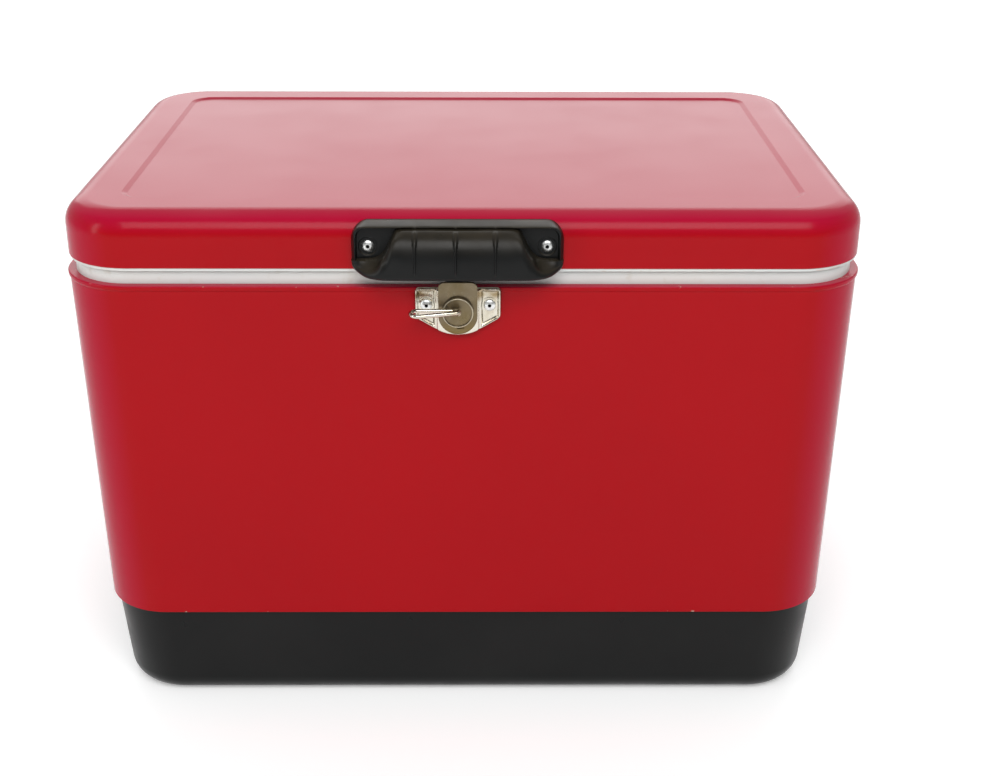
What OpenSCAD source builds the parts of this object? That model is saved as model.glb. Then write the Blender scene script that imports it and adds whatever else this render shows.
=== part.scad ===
// Steel-belted picnic cooler chest: a painted steel belt round a foam-filled liner, standing in a
// moulded base tray, with a hinged lid, a turning latch, swinging carry handles and a drain.
// Millimetres. +X to the right, -Y to the front, +Z up. The origin is on the floor, at the
// centre of the footprint.

/* [Lid] */
// Width of the lid over its skirt
lid_w = 610; // [480:1:760]
// Depth of the lid over its skirt, front to back
lid_d = 420; // [340:1:540]
// Height of the steel lid
lid_h = 42; // [34:0.5:56]
// Radius of the lid's corners, seen from above
corner_r = 54; // [40:0.5:66]
// Radius of the lid's top edge
edge_r = 18.4; // [12:0.1:24]
// Margin from the lid's edge to the pressed panel
panel_margin = 42; // [34:0.5:60]
// Depth of the pressed panel
panel_drop = 1.5; // [0.5:0.1:3]
// Run of the pressed panel's sloping border
panel_bevel = 4; // [2:0.5:8]
// Corner radius of the pressed panel
panel_r = 20; // [10:0.5:30]

/* [Belt] */
// Height of the steel belt
belt_h = 288; // [220:1:360]
// How far the belt stands proud of the lid
belt_over = 0.8; // [0.4:0.1:2]
// How far each wall draws in from the belt's top to its bottom
belt_taper = 4.3; // [0:0.1:8]
// Thickness of the steel sheet
sheet_t = 0.6; // [0.4:0.1:1.2]
// How far the rolled top edge stands proud of the wall
bead_out = 1.2; // [0.5:0.1:2]
// Height of the rolled top edge
bead_h = 4; // [3:0.5:6]
// Width of the belt's top ledge
ledge_w = 5.4; // [4:0.1:9]

/* [Base tray] */
// Height of the base tray
base_h = 88; // [80:1:110]
// How far the tray is set in from the belt's bottom
base_step = 4.2; // [3.9:0.1:8]
// How far each tray wall draws in from top to bottom
base_draft = 5.9; // [2:0.1:9]
// Radius of the tray's bottom edge
base_edge_r = 17.6; // [8:0.1:22]
// Wall of the moulded tray, and of its lip inside the belt
tray_t = 3; // [2:0.1:3.6]
// Height of the lip inside the belt
tray_lip_h = 10; // [6:0.5:16]

/* [Liner] */
// Height of the liner's rim above the belt
rim_h = 10.5; // [8:0.5:14]
// Distance from the belt's face to the cavity at the rim
wall_w = 46; // [38:0.5:60]
// Height of the cavity's floor
floor_z = 62; // [52:0.5:75]
// How far each cavity wall draws in from rim to floor
liner_draft = 6; // [2:0.5:10]
// Wall of the moulded liner
liner_t = 3; // [2:0.1:4]
// Corner radius of the cavity, seen from above
cavity_r = 32; // [20:0.5:42]

/* [Lid liner] */
// Gap between the closed lid and the rim
seam = 0.4; // [0.3:0.05:0.8]
// Height of white lip that shows below the lid's skirt
lip_h = 2.6; // [2:0.1:4]
// How far the lid liner hangs into the cavity
plug_h = 10; // [6:0.5:14]
// Gap between the lid liner's plug and the cavity wall
plug_gap = 2.5; // [2:0.1:4]
// Width of the lid seal
seal_w = 5; // [4:0.1:8]
// Height of the lid seal
seal_h = 2.2; // [1.6:0.1:2.6]

/* [Lid handle] */
// Distance of the latch and lid handle from the middle of the front
front_x = -4; // [-10:0.5:10]
// Overall width of the lid handle
handle_w = 156.6; // [140:0.1:180]
// How far the grip stands out from the lid
grip_out = 25; // [22:0.5:32]
// How far the grip hangs below the lid's skirt
grip_hang = 1; // [0:0.1:2]
// Wall of the moulded grip
grip_t = 3.5; // [2.5:0.1:4.5]
// Thickness of the handle where it lies on the lid
pad_t = 5; // [4:0.1:6]
// Spacing of the handle's two rivets
handle_rivet_pitch = 132.3; // [128:0.1:150]

/* [Latch] */
// Width of the latch plate over its wings
latch_w = 65; // [60:0.5:74]
// Width of the centre cover
cover_w = 29.4; // [28:0.1:34]
// Thickness of the stamped latch plates
latch_t = 0.8; // [0.6:0.1:1.2]
// Depth of the disc's centre below the belt's top
latch_drop = 17.6; // [17:0.1:22]
// Diameter of the turning disc
disc_d = 23.4; // [20:0.1:26]
// Thickness of the turning disc
disc_t = 2.8; // [1.5:0.1:3.5]
// Diameter of the bail's wire
wire_d = 3.2; // [2.6:0.1:3.6]
// Reach of the bail from its pin to the centre of its round end
bail_reach = 27.8; // [24:0.1:34]
// Width of the hanging strike
strike_w = 19; // [18:0.5:22]
// Thickness of the strike
strike_t = 1.2; // [0.8:0.1:1.4]
// Length of the cam bar
cam_len = 11.6; // [10:0.1:12]
// Width of the cam bar
cam_w = 4; // [3:0.1:4.2]

/* [Hinges] */
// Distance of each hinge from the middle of the back
hinge_x = 190; // [120:1:215]
// Width of a hinge
hinge_w = 60; // [48:1:80]
// Radius of the hinge pin
hinge_pin_r = 2; // [1.6:0.1:2.2]
// Radius of a hinge knuckle
knuckle_r = 3.8; // [3.4:0.1:4.2]
// Thickness of a hinge leaf
leaf_t = 1.2; // [1:0.1:1.5]

/* [Side handles] */
// Radius of the handle rod
rod_r = 4; // [3:0.1:5]
// Spacing of a handle's two legs
leg_pitch = 150; // [120:1:180]
// Length of a handle leg, from pivot to grip
leg_len = 60; // [50:1:75]
// Depth of the pivot below the belt's top
pivot_drop = 59; // [50:1:80]
// Radius of the moulded grip
side_grip_r = 12; // [10:0.5:14]
// Length of the moulded grip
side_grip_len = 112; // [80:1:112]
// Gap between the hanging grip and the wall
grip_wall_gap = 2; // [1.5:0.1:5]

/* [Drain] */
// Distance of the drain from the middle of the side, towards the back
drain_y = 100; // [60:1:120]
// Radius of the drain's bore
drain_r = 6; // [5:0.1:8]
// Wall of the drain spout
spout_t = 3; // [2:0.1:4]

/* [Fits] */
// Radial clearance of a running pin or shaft
run_fit = 0.05; // [0.02:0.01:0.1]
// Gap between nested mouldings, foam and sheet
nest = 0.2; // [0.1:0.05:0.4]
// Shank radius of a blind rivet
rivet_r = 2.4; // [2:0.1:3]
// Head radius of a blind rivet
rivet_head_r = 4.75; // [4:0.05:6]

/* [Hidden] */

$fn = 48;
// steps of a quarter corner and of a quarter edge
corner_steps = 12;
edge_steps = 7;

// heights
belt_top = base_h + belt_h;
rim_top = belt_top + rim_h;
lip_z = rim_top + seam;
skirt_z = lip_z + lip_h;
lid_top = skirt_z + lid_h;
flange_t = 3.6;
liner_edge_h = 14;

// front faces, from the wall outwards
lid_face = lid_d / 2;
wall_face = lid_face + belt_over;
bead_face = wall_face + bead_out;
strike_gap = 0.5;
strike_in = bead_face + strike_gap;
strike_out = strike_in + strike_t;
// the strike's foot swings outwards as the lid tips up, by the height of its reach below the hinge
strike_swing = 2.2;
channel_in = strike_out + strike_swing;
channel_out = channel_in + latch_t;
cover_out = channel_out + latch_t;
washer_t = 0.5;
disc_in = cover_out + washer_t;
disc_out = disc_in + disc_t;
disc_ring_h = 0.6;
wing_in = bead_face + 0.1;
wing_out = wing_in + latch_t;

// latch
latch_z = belt_top - latch_drop;
spindle_r = 2;
tang_r = 1.5;
bail_pin_r = 0.9;
wire_r = wire_d / 2;
eye_r = bail_pin_r + 0.1 + wire_r;
bail_end_r = 6;
bail_pin_x = -1.6;
bail_z = latch_z + 3;
bail_pin_out = disc_out + 5.5;
bail_lean = 8;
slot_w = cam_w + 1;
keyhole_r = norm([cam_len / 2, cam_w / 2]) + 0.4;
strike_foot = 14.4;
strike_rivet_z = skirt_z + 10;
strike_rivet_pitch = 11;
latch_rivet_x = latch_w / 2 - 8.8;
latch_rivet_z = latch_z + 3.6;

// lid handle
handle_top_angle = 50;
handle_rivet_z = skirt_z + 19;
pocket_r = 7;
pocket_floor = 3;
grip_hw = handle_w / 2 - 12;
finger_hw = handle_w / 2 - 30;
finger_top = 17;

// hinges
hinge_y = bead_face + knuckle_r + 1.2;
hinge_z = rim_top - 3;
leaf_rivet_x = hinge_w / 2 - 12;
knuckle_gap = 0.4;
knuckle_len = hinge_w / 3;
lid_leaf_rivet_z = skirt_z + 10;
body_leaf_rivet_z = belt_top - 24;
leaf_reach = 38;

// side handles
pivot_z = belt_top - pivot_drop;
pivot_x = belt_w(pivot_z) / 2 + side_grip_r + grip_wall_gap;
grip_z = pivot_z - leg_len;
bracket_len = 14;
bracket_hw = 13;
bracket_t = 1.5;
eye_wall = 3;
bracket_rivet_dz = 13;
journal = 2;

// drain
drain_z = floor_z + drain_r;
spout_r = drain_r + spout_t;
spout_flange_t = 2.5;
spout_face = tray_w(drain_z + spout_r + 5) / 2 + 0.1;
neck_len = 9;
plug_len = 14;

// width and depth of the belt and the tray at height z
function belt_in(z) = belt_taper * (belt_top - z) / belt_h;
function belt_w(z) = lid_w + 2 * belt_over - 2 * belt_in(z);
function belt_d(z) = lid_d + 2 * belt_over - 2 * belt_in(z);
function tray_in(z) = base_step + base_draft * (base_h - z) / base_h;
function tray_w(z) = belt_w(base_h) - 2 * tray_in(z);
function tray_d(z) = belt_d(base_h) - 2 * tray_in(z);
// how far the cavity wall stands in from the belt's top at height z
function cavity_in(z) = wall_w + liner_draft * (rim_top - z) / (rim_top - floor_z);

// points of a rectangle w by d with round corners
function round_points(w, d, r) = [
    for (corner = [0:3]) let (
        sx = (corner == 0 || corner == 3) ? 1 : -1,
        sy = corner < 2 ? 1 : -1)
    for (step = [0:corner_steps]) let (a = 90 * corner + 90 * step / corner_steps)
    [sx * (w / 2 - r) + r * cos(a), sy * (d / 2 - r) + r * sin(a)]];

// the same outline as a ring of points at height z
function ring(w, d, r, z) = [for (p = round_points(w, d, r)) [p[0], p[1], z]];

// a solid through rings of points, lowest first, closed flat at both ends
module loft(rings) {
    n = len(rings[0]);
    top = len(rings) - 1;
    sides = [for (k = [0:top - 1]) for (i = [0:n - 1]) let (j = (i + 1) % n)
        [k * n + i, (k + 1) * n + i, (k + 1) * n + j, k * n + j]];
    polyhedron(
        points = [for (points = rings) each points],
        faces = concat([[for (i = [0:n - 1]) i]], [[for (i = [n - 1:-1:0]) top * n + i]], sides));
}

module prism(w, d, r, z_low, z_high) {
    translate([0, 0, z_low]) linear_extrude(z_high - z_low) polygon(round_points(w, d, r));
}

function belt_ring(inset, z) =
    ring(belt_w(z) - 2 * inset, belt_d(z) - 2 * inset, corner_r + belt_over - inset, z);

module belt_solid(inset, z_low, z_high) {
    loft([belt_ring(inset, z_low), belt_ring(inset, z_high)]);
}

function tray_ring(inset, z) =
    ring(tray_w(z) - 2 * inset, tray_d(z) - 2 * inset, corner_r - base_step - inset, z);

// the tray's outside, or its inside when inset is its wall, with the round bottom edge
module tray_solid(inset, z_high) {
    r = base_edge_r - inset;
    edge = [for (step = [0:edge_steps]) let (a = 90 * step / edge_steps)
        tray_ring(inset + r * (1 - sin(a)), inset + r * (1 - cos(a)))];
    loft(concat(edge, [tray_ring(inset, z_high)]));
}

// the cavity, or the liner's outside when grow is its wall
module cavity_solid(grow, z_high) {
    w = belt_w(belt_top);
    d = belt_d(belt_top);
    z_low = floor_z - grow;
    low = 2 * (cavity_in(z_low) - grow);
    high = 2 * (cavity_in(z_high) - grow);
    loft([ring(w - low, d - low, cavity_r - 6 + grow, z_low),
          ring(w - high, d - high, cavity_r + grow, z_high)]);
}

function lid_ring(inset, z) = ring(lid_w - 2 * inset, lid_d - 2 * inset, corner_r - inset, z);

// the lid's outside, or a surface set in from it, from z_low up over the round top edge
module lid_solid(inset, z_low) {
    r = edge_r - inset;
    edge = [for (step = [0:edge_steps]) let (a = 90 * step / edge_steps)
        lid_ring(inset + r * (1 - cos(a)), lid_top - edge_r + r * sin(a))];
    loft(concat([lid_ring(inset, z_low)], edge));
}

// the space pressed out of the lid's top, grown downwards and sideways by grow
module panel_cut(grow) {
    w = lid_w - 2 * panel_margin + 2 * grow;
    d = lid_d - 2 * panel_margin + 2 * grow;
    loft([ring(w - 2 * panel_bevel, d - 2 * panel_bevel, panel_r - panel_bevel + grow,
               lid_top - panel_drop - grow),
          ring(w, d, panel_r + grow, lid_top),
          ring(w, d, panel_r + grow, lid_top + 1)]);
}

// a profile of [distance out from the middle, height] points, extruded across the front
module front_profile(width, points) {
    rotate([90, 0, -90]) linear_extrude(width, center = true) polygon(points);
}

// the same for the back
module back_profile(width, points) {
    rotate([90, 0, 90]) linear_extrude(width, center = true) polygon(points);
}

// a flat shape in [x, height] drawn on the front, from one distance out to another
module front_plate(near, far) {
    translate([0, -near, 0]) rotate([90, 0, 0]) linear_extrude(far - near) children();
}

// a cylinder that points out of the front
module front_rod(x, z, r, near, far) {
    translate([x, -near, z]) rotate([90, 0, 0]) cylinder(h = far - near, r = r);
}

// a blind rivet on its +Z axis: the head's underside is at zero, the shank goes down
module rivet(grip) {
    head_h = 2.2;
    difference() {
        union() {
            rotate_extrude() polygon(concat(
                [[0, 0]],
                [for (step = [0:6]) let (a = 15 * step) [rivet_head_r * cos(a), head_h * sin(a)]]));
            translate([0, 0, -grip]) cylinder(h = grip, r = rivet_r);
        }
        translate([0, 0, head_h - 1.5]) cylinder(h = 3, r = 1.1);
    }
}

module front_rivet(x, z, face, grip) {
    translate([x, -face, z]) rotate([90, 0, 0]) rivet(grip);
}

module back_rivet(x, z, face, grip) {
    translate([x, face, z]) rotate([-90, 0, 0]) rivet(grip);
}

module side_rivet(side, y, z, face, grip) {
    translate([side * face, y, z]) rotate([0, side * 90, 0]) rivet(grip);
}

// ---------- holes that several pieces share ----------

// blind holes in the belt for every rivet set in it, and a pocket of radius r behind each
module belt_rivet_holes(r, depth) {
    for (side = [-1, 1]) {
        front_rod(front_x + side * latch_rivet_x, latch_rivet_z, r, wall_face - depth, wall_face + 5);
        for (hinge = [-1, 1]) {
            translate([hinge * hinge_x + side * leaf_rivet_x, wall_face - depth, body_leaf_rivet_z])
                rotate([-90, 0, 0]) cylinder(h = depth + 5, r = r);
        }
        for (y = [-1, 1], dz = [-1, 1]) {
            translate([side * (belt_w(pivot_z) / 2 - depth), y * leg_pitch / 2,
                       pivot_z + dz * bracket_rivet_dz])
                rotate([0, side * 90, 0]) cylinder(h = depth + 5, r = r);
        }
    }
}

// the same for every rivet set in the lid
module lid_rivet_holes(r, depth) {
    for (side = [-1, 1]) {
        front_rod(front_x + side * handle_rivet_pitch / 2, handle_rivet_z, r,
                  lid_face - depth, lid_face + 5);
        front_rod(front_x + side * strike_rivet_pitch / 2, strike_rivet_z, r,
                  lid_face - depth, lid_face + 5);
        for (hinge = [-1, 1]) {
            translate([hinge * hinge_x + side * leaf_rivet_x, lid_face - depth, lid_leaf_rivet_z])
                rotate([-90, 0, 0]) cylinder(h = depth + 5, r = r);
        }
    }
}

// the drain's way through the right-hand wall
module drain_way(r, x_low, x_high) {
    translate([x_low, drain_y, drain_z]) rotate([0, 90, 0]) cylinder(h = x_high - x_low, r = r);
}

// ---------- chest ----------

module base_tray() color("#262626") {
    lip_low = base_h - 1.5;
    difference() {
        union() {
            tray_solid(0, base_h);
            belt_solid(sheet_t + nest, base_h, base_h + tray_lip_h);
        }
        tray_solid(tray_t, lip_low);
        belt_solid(sheet_t + nest + tray_t + base_step, lip_low - 1, base_h + 1);
        belt_solid(sheet_t + nest + tray_t, base_h + tray_t, base_h + tray_lip_h + 1);
        belt_solid(sheet_t + nest + tray_t + base_step, base_h, base_h + tray_t + 1);
        drain_way(spout_r + run_fit, tray_w(0) / 2 - 20, lid_w);
    }
}

module body_shell() color("#a8191d") {
    difference() {
        loft([belt_ring(0, base_h),
              belt_ring(0, belt_top - bead_h - 0.6),
              belt_ring(-bead_out, belt_top - bead_h + 0.8),
              belt_ring(-bead_out, belt_top - 1),
              belt_ring(-bead_out / 2, belt_top)]);
        belt_solid(sheet_t, base_h - 1, belt_top - sheet_t);
        prism(belt_w(belt_top) - 2 * ledge_w, belt_d(belt_top) - 2 * ledge_w,
              corner_r + belt_over - ledge_w, belt_top - 2, belt_top + 1);
        belt_rivet_holes(rivet_r + run_fit, 3);
    }
}

module body_foam() color("#e8dca8") {
    inset = sheet_t + nest;
    rim_inset = ledge_w + 2 * nest + liner_t;
    difference() {
        union() {
            tray_solid(tray_t + nest, base_h - 1.5);
            belt_solid(inset + tray_t + base_step + nest, base_h - 10, base_h + 20);
            belt_solid(inset, base_h + tray_lip_h + nest, belt_top - sheet_t - nest);
            belt_solid(rim_inset, belt_top - 10, rim_top - liner_t - nest);
        }
        cavity_solid(liner_t + nest, rim_top + 1);
        belt_rivet_holes(rivet_head_r, 12);
        drain_way(spout_r + nest, 0, lid_w);
        drain_way(spout_r + 8, cavity_end() + liner_t, cavity_end() + liner_t + 9);
    }
}

// the cavity's right-hand end wall, at the height of the drain
function cavity_end() = belt_w(belt_top) / 2 - cavity_in(drain_z);

module inner_liner() color("#ecebe6") {
    rim_inset = ledge_w + nest;
    w = belt_w(belt_top);
    d = belt_d(belt_top);
    hollow = rim_inset + liner_t;
    difference() {
        union() {
            difference() {
                prism(w - 2 * rim_inset, d - 2 * rim_inset, corner_r - rim_inset, belt_top, rim_top);
                prism(w - 2 * hollow, d - 2 * hollow, corner_r - hollow,
                      belt_top - 1, rim_top - liner_t);
            }
            cavity_solid(liner_t, rim_top);
        }
        cavity_solid(0, rim_top + 1);
        drain_way(spout_r + run_fit, 0, lid_w);
    }
}

// ---------- drain ----------

module drain_spout() color("#1f1f1f") {
    inner_end = cavity_end() + 0.5;
    difference() {
        union() {
            drain_way(spout_r, inner_end, spout_face + neck_len);
            drain_way(spout_r + 5, spout_face, spout_face + spout_flange_t);
        }
        drain_way(drain_r, inner_end - 1, spout_face + neck_len + 1);
    }
}

module drain_nut() color("#d8d8d2") {
    near = cavity_end() + liner_t + 1.5;
    difference() {
        translate([near, drain_y, drain_z]) rotate([0, 90, 0]) cylinder(h = 6, r = spout_r + 5, $fn = 6);
        drain_way(spout_r + run_fit, near - 1, near + 7);
    }
}

module drain_plug() color("#2b2b2b") {
    mouth = spout_face + neck_len;
    difference() {
        union() {
            drain_way(drain_r - run_fit, mouth - plug_len, mouth + 1);
            drain_way(spout_r + 1, mouth + 0.2, mouth + 3.2);
            drain_way(4, mouth + 3, mouth + 7);
            drain_way(8, mouth + 7, mouth + 10);
        }
        drain_way(drain_r - 2.5, mouth - plug_len - 1, mouth - 3);
    }
}

// ---------- latch on the chest ----------

// the latch plate's outline in [x, height], drawn in by inset
module wing_outline(inset) {
    hw = latch_w / 2 - inset;
    foot_hw = cover_w / 2 + 1 - inset;
    polygon([[-hw, latch_z + 17.4 - inset], [hw, latch_z + 17.4 - inset], [hw, latch_z - 6.8],
             [foot_hw, latch_z - 17 + inset], [foot_hw - 7, latch_z - 20.4 + inset],
             [-foot_hw + 7, latch_z - 20.4 + inset], [-foot_hw, latch_z - 17 + inset],
             [-hw, latch_z - 6.8]]);
}

module latch_plate() color("#b9b4a4") {
    channel_hw = cover_w / 2 - 0.3;
    channel_low = latch_z - 18.3;
    difference() {
        translate([front_x, 0, 0]) difference() {
            union() {
                front_plate(wall_face, wing_out) wing_outline(0);
                front_plate(wing_in, channel_out)
                    translate([-channel_hw, channel_low]) square([2 * channel_hw, 35.7]);
            }
            front_plate(wall_face - 1, wing_in) wing_outline(latch_t + 0.4);
            front_plate(wall_face - 1, wing_in)
                translate([-latch_w, belt_top - bead_h - 1]) square([2 * latch_w, 20]);
            front_plate(wall_face - 1, channel_in)
                translate([-channel_hw + latch_t, channel_low + latch_t])
                square([2 * (channel_hw - latch_t), 60]);
            front_rod(0, latch_z, spindle_r + run_fit, channel_in - 1, channel_out + 1);
        }
        belt_rivet_holes(rivet_r + run_fit, 1);
    }
}

module cover_outline() {
    r = 5;
    hw = cover_w / 2;
    low = latch_z - 18.4 + hw;
    high = latch_z + 23.3 - r;
    union() {
        intersection() {
            translate([0, low]) circle(r = hw);
            translate([-hw, low - hw]) square([2 * hw, hw]);
        }
        translate([-hw, low]) square([2 * hw, high - low]);
        translate([-hw + r, high]) square([2 * (hw - r), r]);
        for (side = [-1, 1]) translate([side * (hw - r), high]) circle(r = r);
    }
}

module latch_cover() color("#7d6f4e") {
    translate([front_x, 0, 0]) difference() {
        front_plate(channel_out, cover_out) cover_outline();
        front_rod(0, latch_z, spindle_r + run_fit, channel_out - 1, cover_out + 1);
        front_plate(channel_out - 1, cover_out + 1)
            translate([0, latch_z - 13.6]) square([5, 0.9]);
    }
}

module latch_rivets() color("#c8c8c4") {
    for (side = [-1, 1])
        front_rivet(front_x + side * latch_rivet_x, latch_rivet_z, wing_out, 9);
}

// ---------- latch, turning ----------

module latch_disc() color("#8d8160") {
    r = disc_d / 2;
    ear_t = 1.3;
    ear_gap = wire_r + 0.2;
    translate([front_x, 0, 0]) difference() {
        union() {
            front_rod(0, latch_z, r, disc_in, disc_out);
            difference() {
                front_rod(0, latch_z, r, disc_out, disc_out + disc_ring_h);
                front_rod(0, latch_z, r - 1.2, disc_out - 1, disc_out + 2);
            }
            for (side = [-1, 1]) {
                translate([bail_pin_x, 0, bail_z + side * (ear_gap + ear_t / 2)]) {
                    translate([0, -bail_pin_out, 0]) cylinder(h = ear_t, r = 2.2, center = true);
                    translate([0, -(disc_out + bail_pin_out) / 2, 0])
                        cube([4.4, bail_pin_out - disc_out, ear_t], center = true);
                }
            }
        }
        front_rod(0, latch_z, spindle_r + run_fit / 2, disc_in - 1, disc_out + 0.5);
        translate([bail_pin_x, -bail_pin_out, bail_z])
            cylinder(h = 12, r = bail_pin_r + run_fit / 2, center = true);
    }
}

// a shaft through plate and cover, its thinner tang riveted over in the cam
module latch_spindle() color("#9a9482") {
    front_rod(front_x, latch_z, tang_r, strike_in - 0.2, strike_out);
    front_rod(front_x, latch_z, spindle_r, strike_out - 0.1, disc_out + 0.5);
}

module latch_cam() color("#9a9482") {
    near = strike_in + 0.1;
    far = strike_out - 0.1;
    translate([front_x, 0, 0]) difference() {
        front_plate(near, far)
            translate([-cam_w / 2, latch_z - cam_len / 2]) square([cam_w, cam_len]);
        front_rod(0, latch_z, tang_r, near - 1, far + 1);
    }
}

module spring_washer() color("#c8c8c4") {
    translate([front_x, 0, 0]) difference() {
        front_rod(0, latch_z, 6, cover_out, disc_in);
        front_rod(0, latch_z, spindle_r + run_fit, cover_out - 1, disc_in + 1);
    }
}

module bail_pin() color("#9a9482") {
    translate([front_x + bail_pin_x, -bail_pin_out, bail_z])
        cylinder(h = 2 * (wire_r + 0.2 + 1.3) + 0.8, r = bail_pin_r, center = true);
}

// teardrop of round wire in a level plane, its eye round the pin, leaning to the left; a bead a
// little over the wire's size joins each straight run to its bends
module latch_bail() color("#a39a80") {
    slope = asin((bail_end_r - eye_r) / bail_reach);
    run = bail_reach * cos(slope);
    bead_r = wire_r + 0.05;
    shy = 0.2;
    translate([front_x + bail_pin_x, -bail_pin_out, bail_z]) rotate([0, 0, 180 + bail_lean]) {
        rotate([0, 0, 90 + slope]) wire_arc(eye_r, 180 - 2 * slope);
        translate([bail_reach, 0, 0]) rotate([0, 0, -90 - slope])
            wire_arc(bail_end_r, 180 + 2 * slope);
        for (side = [-1, 1]) {
            rotate([0, 0, side * slope]) translate([0, side * eye_r, 0]) {
                translate([shy, 0, 0]) rotate([0, 90, 0]) cylinder(h = run - 2 * shy, r = wire_r);
                for (end = [0, run]) translate([end, 0, 0]) rotate([0, 90, 0]) sphere(r = bead_r);
            }
        }
    }
}

module wire_arc(r, angle) {
    rotate_extrude(angle = angle) translate([r, 0]) circle(r = wire_r);
}

// ---------- lid ----------

module lid_shell() color("#b01c2c") {
    difference() {
        lid_solid(0, skirt_z);
        panel_cut(0);
        difference() {
            lid_solid(sheet_t, skirt_z - 1);
            panel_cut(sheet_t);
        }
        lid_rivet_holes(rivet_r + run_fit, 3);
    }
}

module lid_foam() color("#e8dca8") {
    inset = sheet_t + nest;
    edge_inset = sheet_t + 2 * nest + 2.5 + nest;
    plug_inset = wall_w - belt_over + plug_gap + liner_t + nest;
    flange_top = lip_z + flange_t + nest;
    difference() {
        union() {
            lid_solid(inset, lip_z + liner_edge_h + nest);
            prism(lid_w - 2 * edge_inset, lid_d - 2 * edge_inset, corner_r - edge_inset,
                  flange_top, lip_z + liner_edge_h + 1);
            prism(lid_w - 2 * plug_inset, lid_d - 2 * plug_inset, cavity_r - plug_gap - liner_t,
                  lip_z - plug_h + liner_t + nest, flange_top + 1);
        }
        panel_cut(sheet_t + nest);
        lid_rivet_holes(rivet_head_r, 12);
    }
}

module lid_liner() color("#f1efe9") {
    inset = sheet_t + nest;
    edge_inset = inset + 2.5;
    plug_inset = wall_w - belt_over + plug_gap;
    plug_hollow = plug_inset + liner_t;
    difference() {
        union() {
            prism(lid_w - 2 * inset, lid_d - 2 * inset, corner_r - inset,
                  lip_z, lip_z + liner_edge_h);
            prism(lid_w - 2 * plug_inset, lid_d - 2 * plug_inset, cavity_r - plug_gap,
                  lip_z - plug_h, lip_z + 1);
        }
        prism(lid_w - 2 * edge_inset, lid_d - 2 * edge_inset, corner_r - edge_inset,
              lip_z + flange_t, lip_z + liner_edge_h + 1);
        prism(lid_w - 2 * plug_hollow, lid_d - 2 * plug_hollow, cavity_r - plug_gap - liner_t,
              lip_z - plug_h + liner_t, lip_z + flange_t + 1);
        seal_ring(seal_w + 0.2, lip_z - 1, lip_z + seal_h + 0.1 - seam / 2);
        lid_rivet_holes(rivet_head_r, 12);
    }
}

// a ring that follows the middle of the rim
module seal_ring(width, z_low, z_high) {
    mid = (ledge_w + wall_w) / 2;
    w = belt_w(belt_top);
    d = belt_d(belt_top);
    out = 2 * (mid - width / 2);
    in = 2 * (mid + width / 2);
    difference() {
        prism(w - out, d - out, corner_r - mid + width / 2 + 6, z_low, z_high);
        prism(w - in, d - in, corner_r - mid - width / 2 + 6, z_low - 1, z_high + 1);
    }
}

module lid_seal() color("#3a3a3a") {
    seal_ring(seal_w, rim_top + seam / 2, rim_top + seam / 2 + seal_h);
}

// a point on the lid's front profile: angle up the round edge, distance off the surface
function lid_front(a, off) =
    [lid_face - edge_r + (edge_r + off) * cos(a), lid_top - edge_r + (edge_r + off) * sin(a)];

// outline of the whole handle in [x, height]
module handle_outline() {
    r = 11;
    hw = handle_w / 2;
    low = skirt_z + 9;
    polygon(concat(
        [for (step = [0:6]) let (a = 15 * step) [hw - r + r * cos(a), lid_top + 2 - r + r * sin(a)]],
        [for (step = [0:6]) let (a = 90 + 15 * step)
            [-hw + r + r * cos(a), lid_top + 2 - r + r * sin(a)]],
        [[-hw, low], [-hw + 9, skirt_z + 2.4], [-hw + 25, skirt_z - grip_hang],
         [hw - 25, skirt_z - grip_hang], [hw - 9, skirt_z + 2.4], [hw, low]]));
}

// the raised grip's outline in [x, height], drawn in by inset
module grip_outline(inset) {
    top = lid_top - 2;
    hw = grip_hw - inset;
    polygon([[-hw, skirt_z - 5], [-hw + 2, skirt_z + 4], [-hw + 13, skirt_z + 19],
             [-hw + 27, top + 4], [hw - 27, top + 4], [hw - 13, skirt_z + 19],
             [hw - 2, skirt_z + 4], [hw, skirt_z - 5]]);
}

// the grip's shoulder in [distance out, height], drawn in by inset
function grip_profile(inset) =
    let (face = lid_face + grip_out - inset, r = grip_out - 10)
    concat(
        [[face, skirt_z - grip_hang - (inset > 0 ? 5 : 0)]],
        [for (step = [0:6]) let (a = 10 * step)
            [face - r + r * cos(a), skirt_z + finger_top + inset * -0.5 + r * sin(a)]]);

module lid_handle() color("#232523") {
    bottom = skirt_z - grip_hang;
    back = 0.1;
    arc = [for (step = [0:5]) handle_top_angle * step / 5];
    pad = concat(
        [[lid_face + back, bottom]],
        [for (a = arc) lid_front(a, back)],
        [for (step = [5:-1:0]) lid_front(arc[step], pad_t)],
        [[lid_face + pad_t, bottom]]);
    grip = concat(grip_profile(0), [lid_front(handle_top_angle, pad_t), [lid_face + back, lid_top - 10],
                                    [lid_face + back, bottom]]);
    hollow = concat(grip_profile(grip_t), [[lid_face + 5, skirt_z + finger_top + 8],
                                           [lid_face - 1, skirt_z + finger_top + 4],
                                           [lid_face - 1, bottom - 5]]);
    difference() {
        translate([front_x, 0, 0]) difference() {
            union() {
                intersection() {
                    front_profile(handle_w, pad);
                    front_plate(lid_face - 20, lid_face + 40) handle_outline();
                }
                intersection() {
                    front_profile(2 * grip_hw, grip);
                    front_plate(lid_face - 20, lid_face + 40) grip_outline(0);
                    front_plate(lid_face - 20, lid_face + 40) handle_outline();
                    lid_keep_out();
                }
            }
            intersection() {
                front_profile(2 * finger_hw, hollow);
                front_plate(lid_face - 20, lid_face + 40) grip_outline(grip_t);
            }
            for (side = [-1, 1])
                front_rod(side * handle_rivet_pitch / 2, handle_rivet_z, pocket_r,
                          lid_face + pocket_floor, lid_face + 40);
        }
        lid_rivet_holes(rivet_r + run_fit, 1);
    }
}

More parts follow.
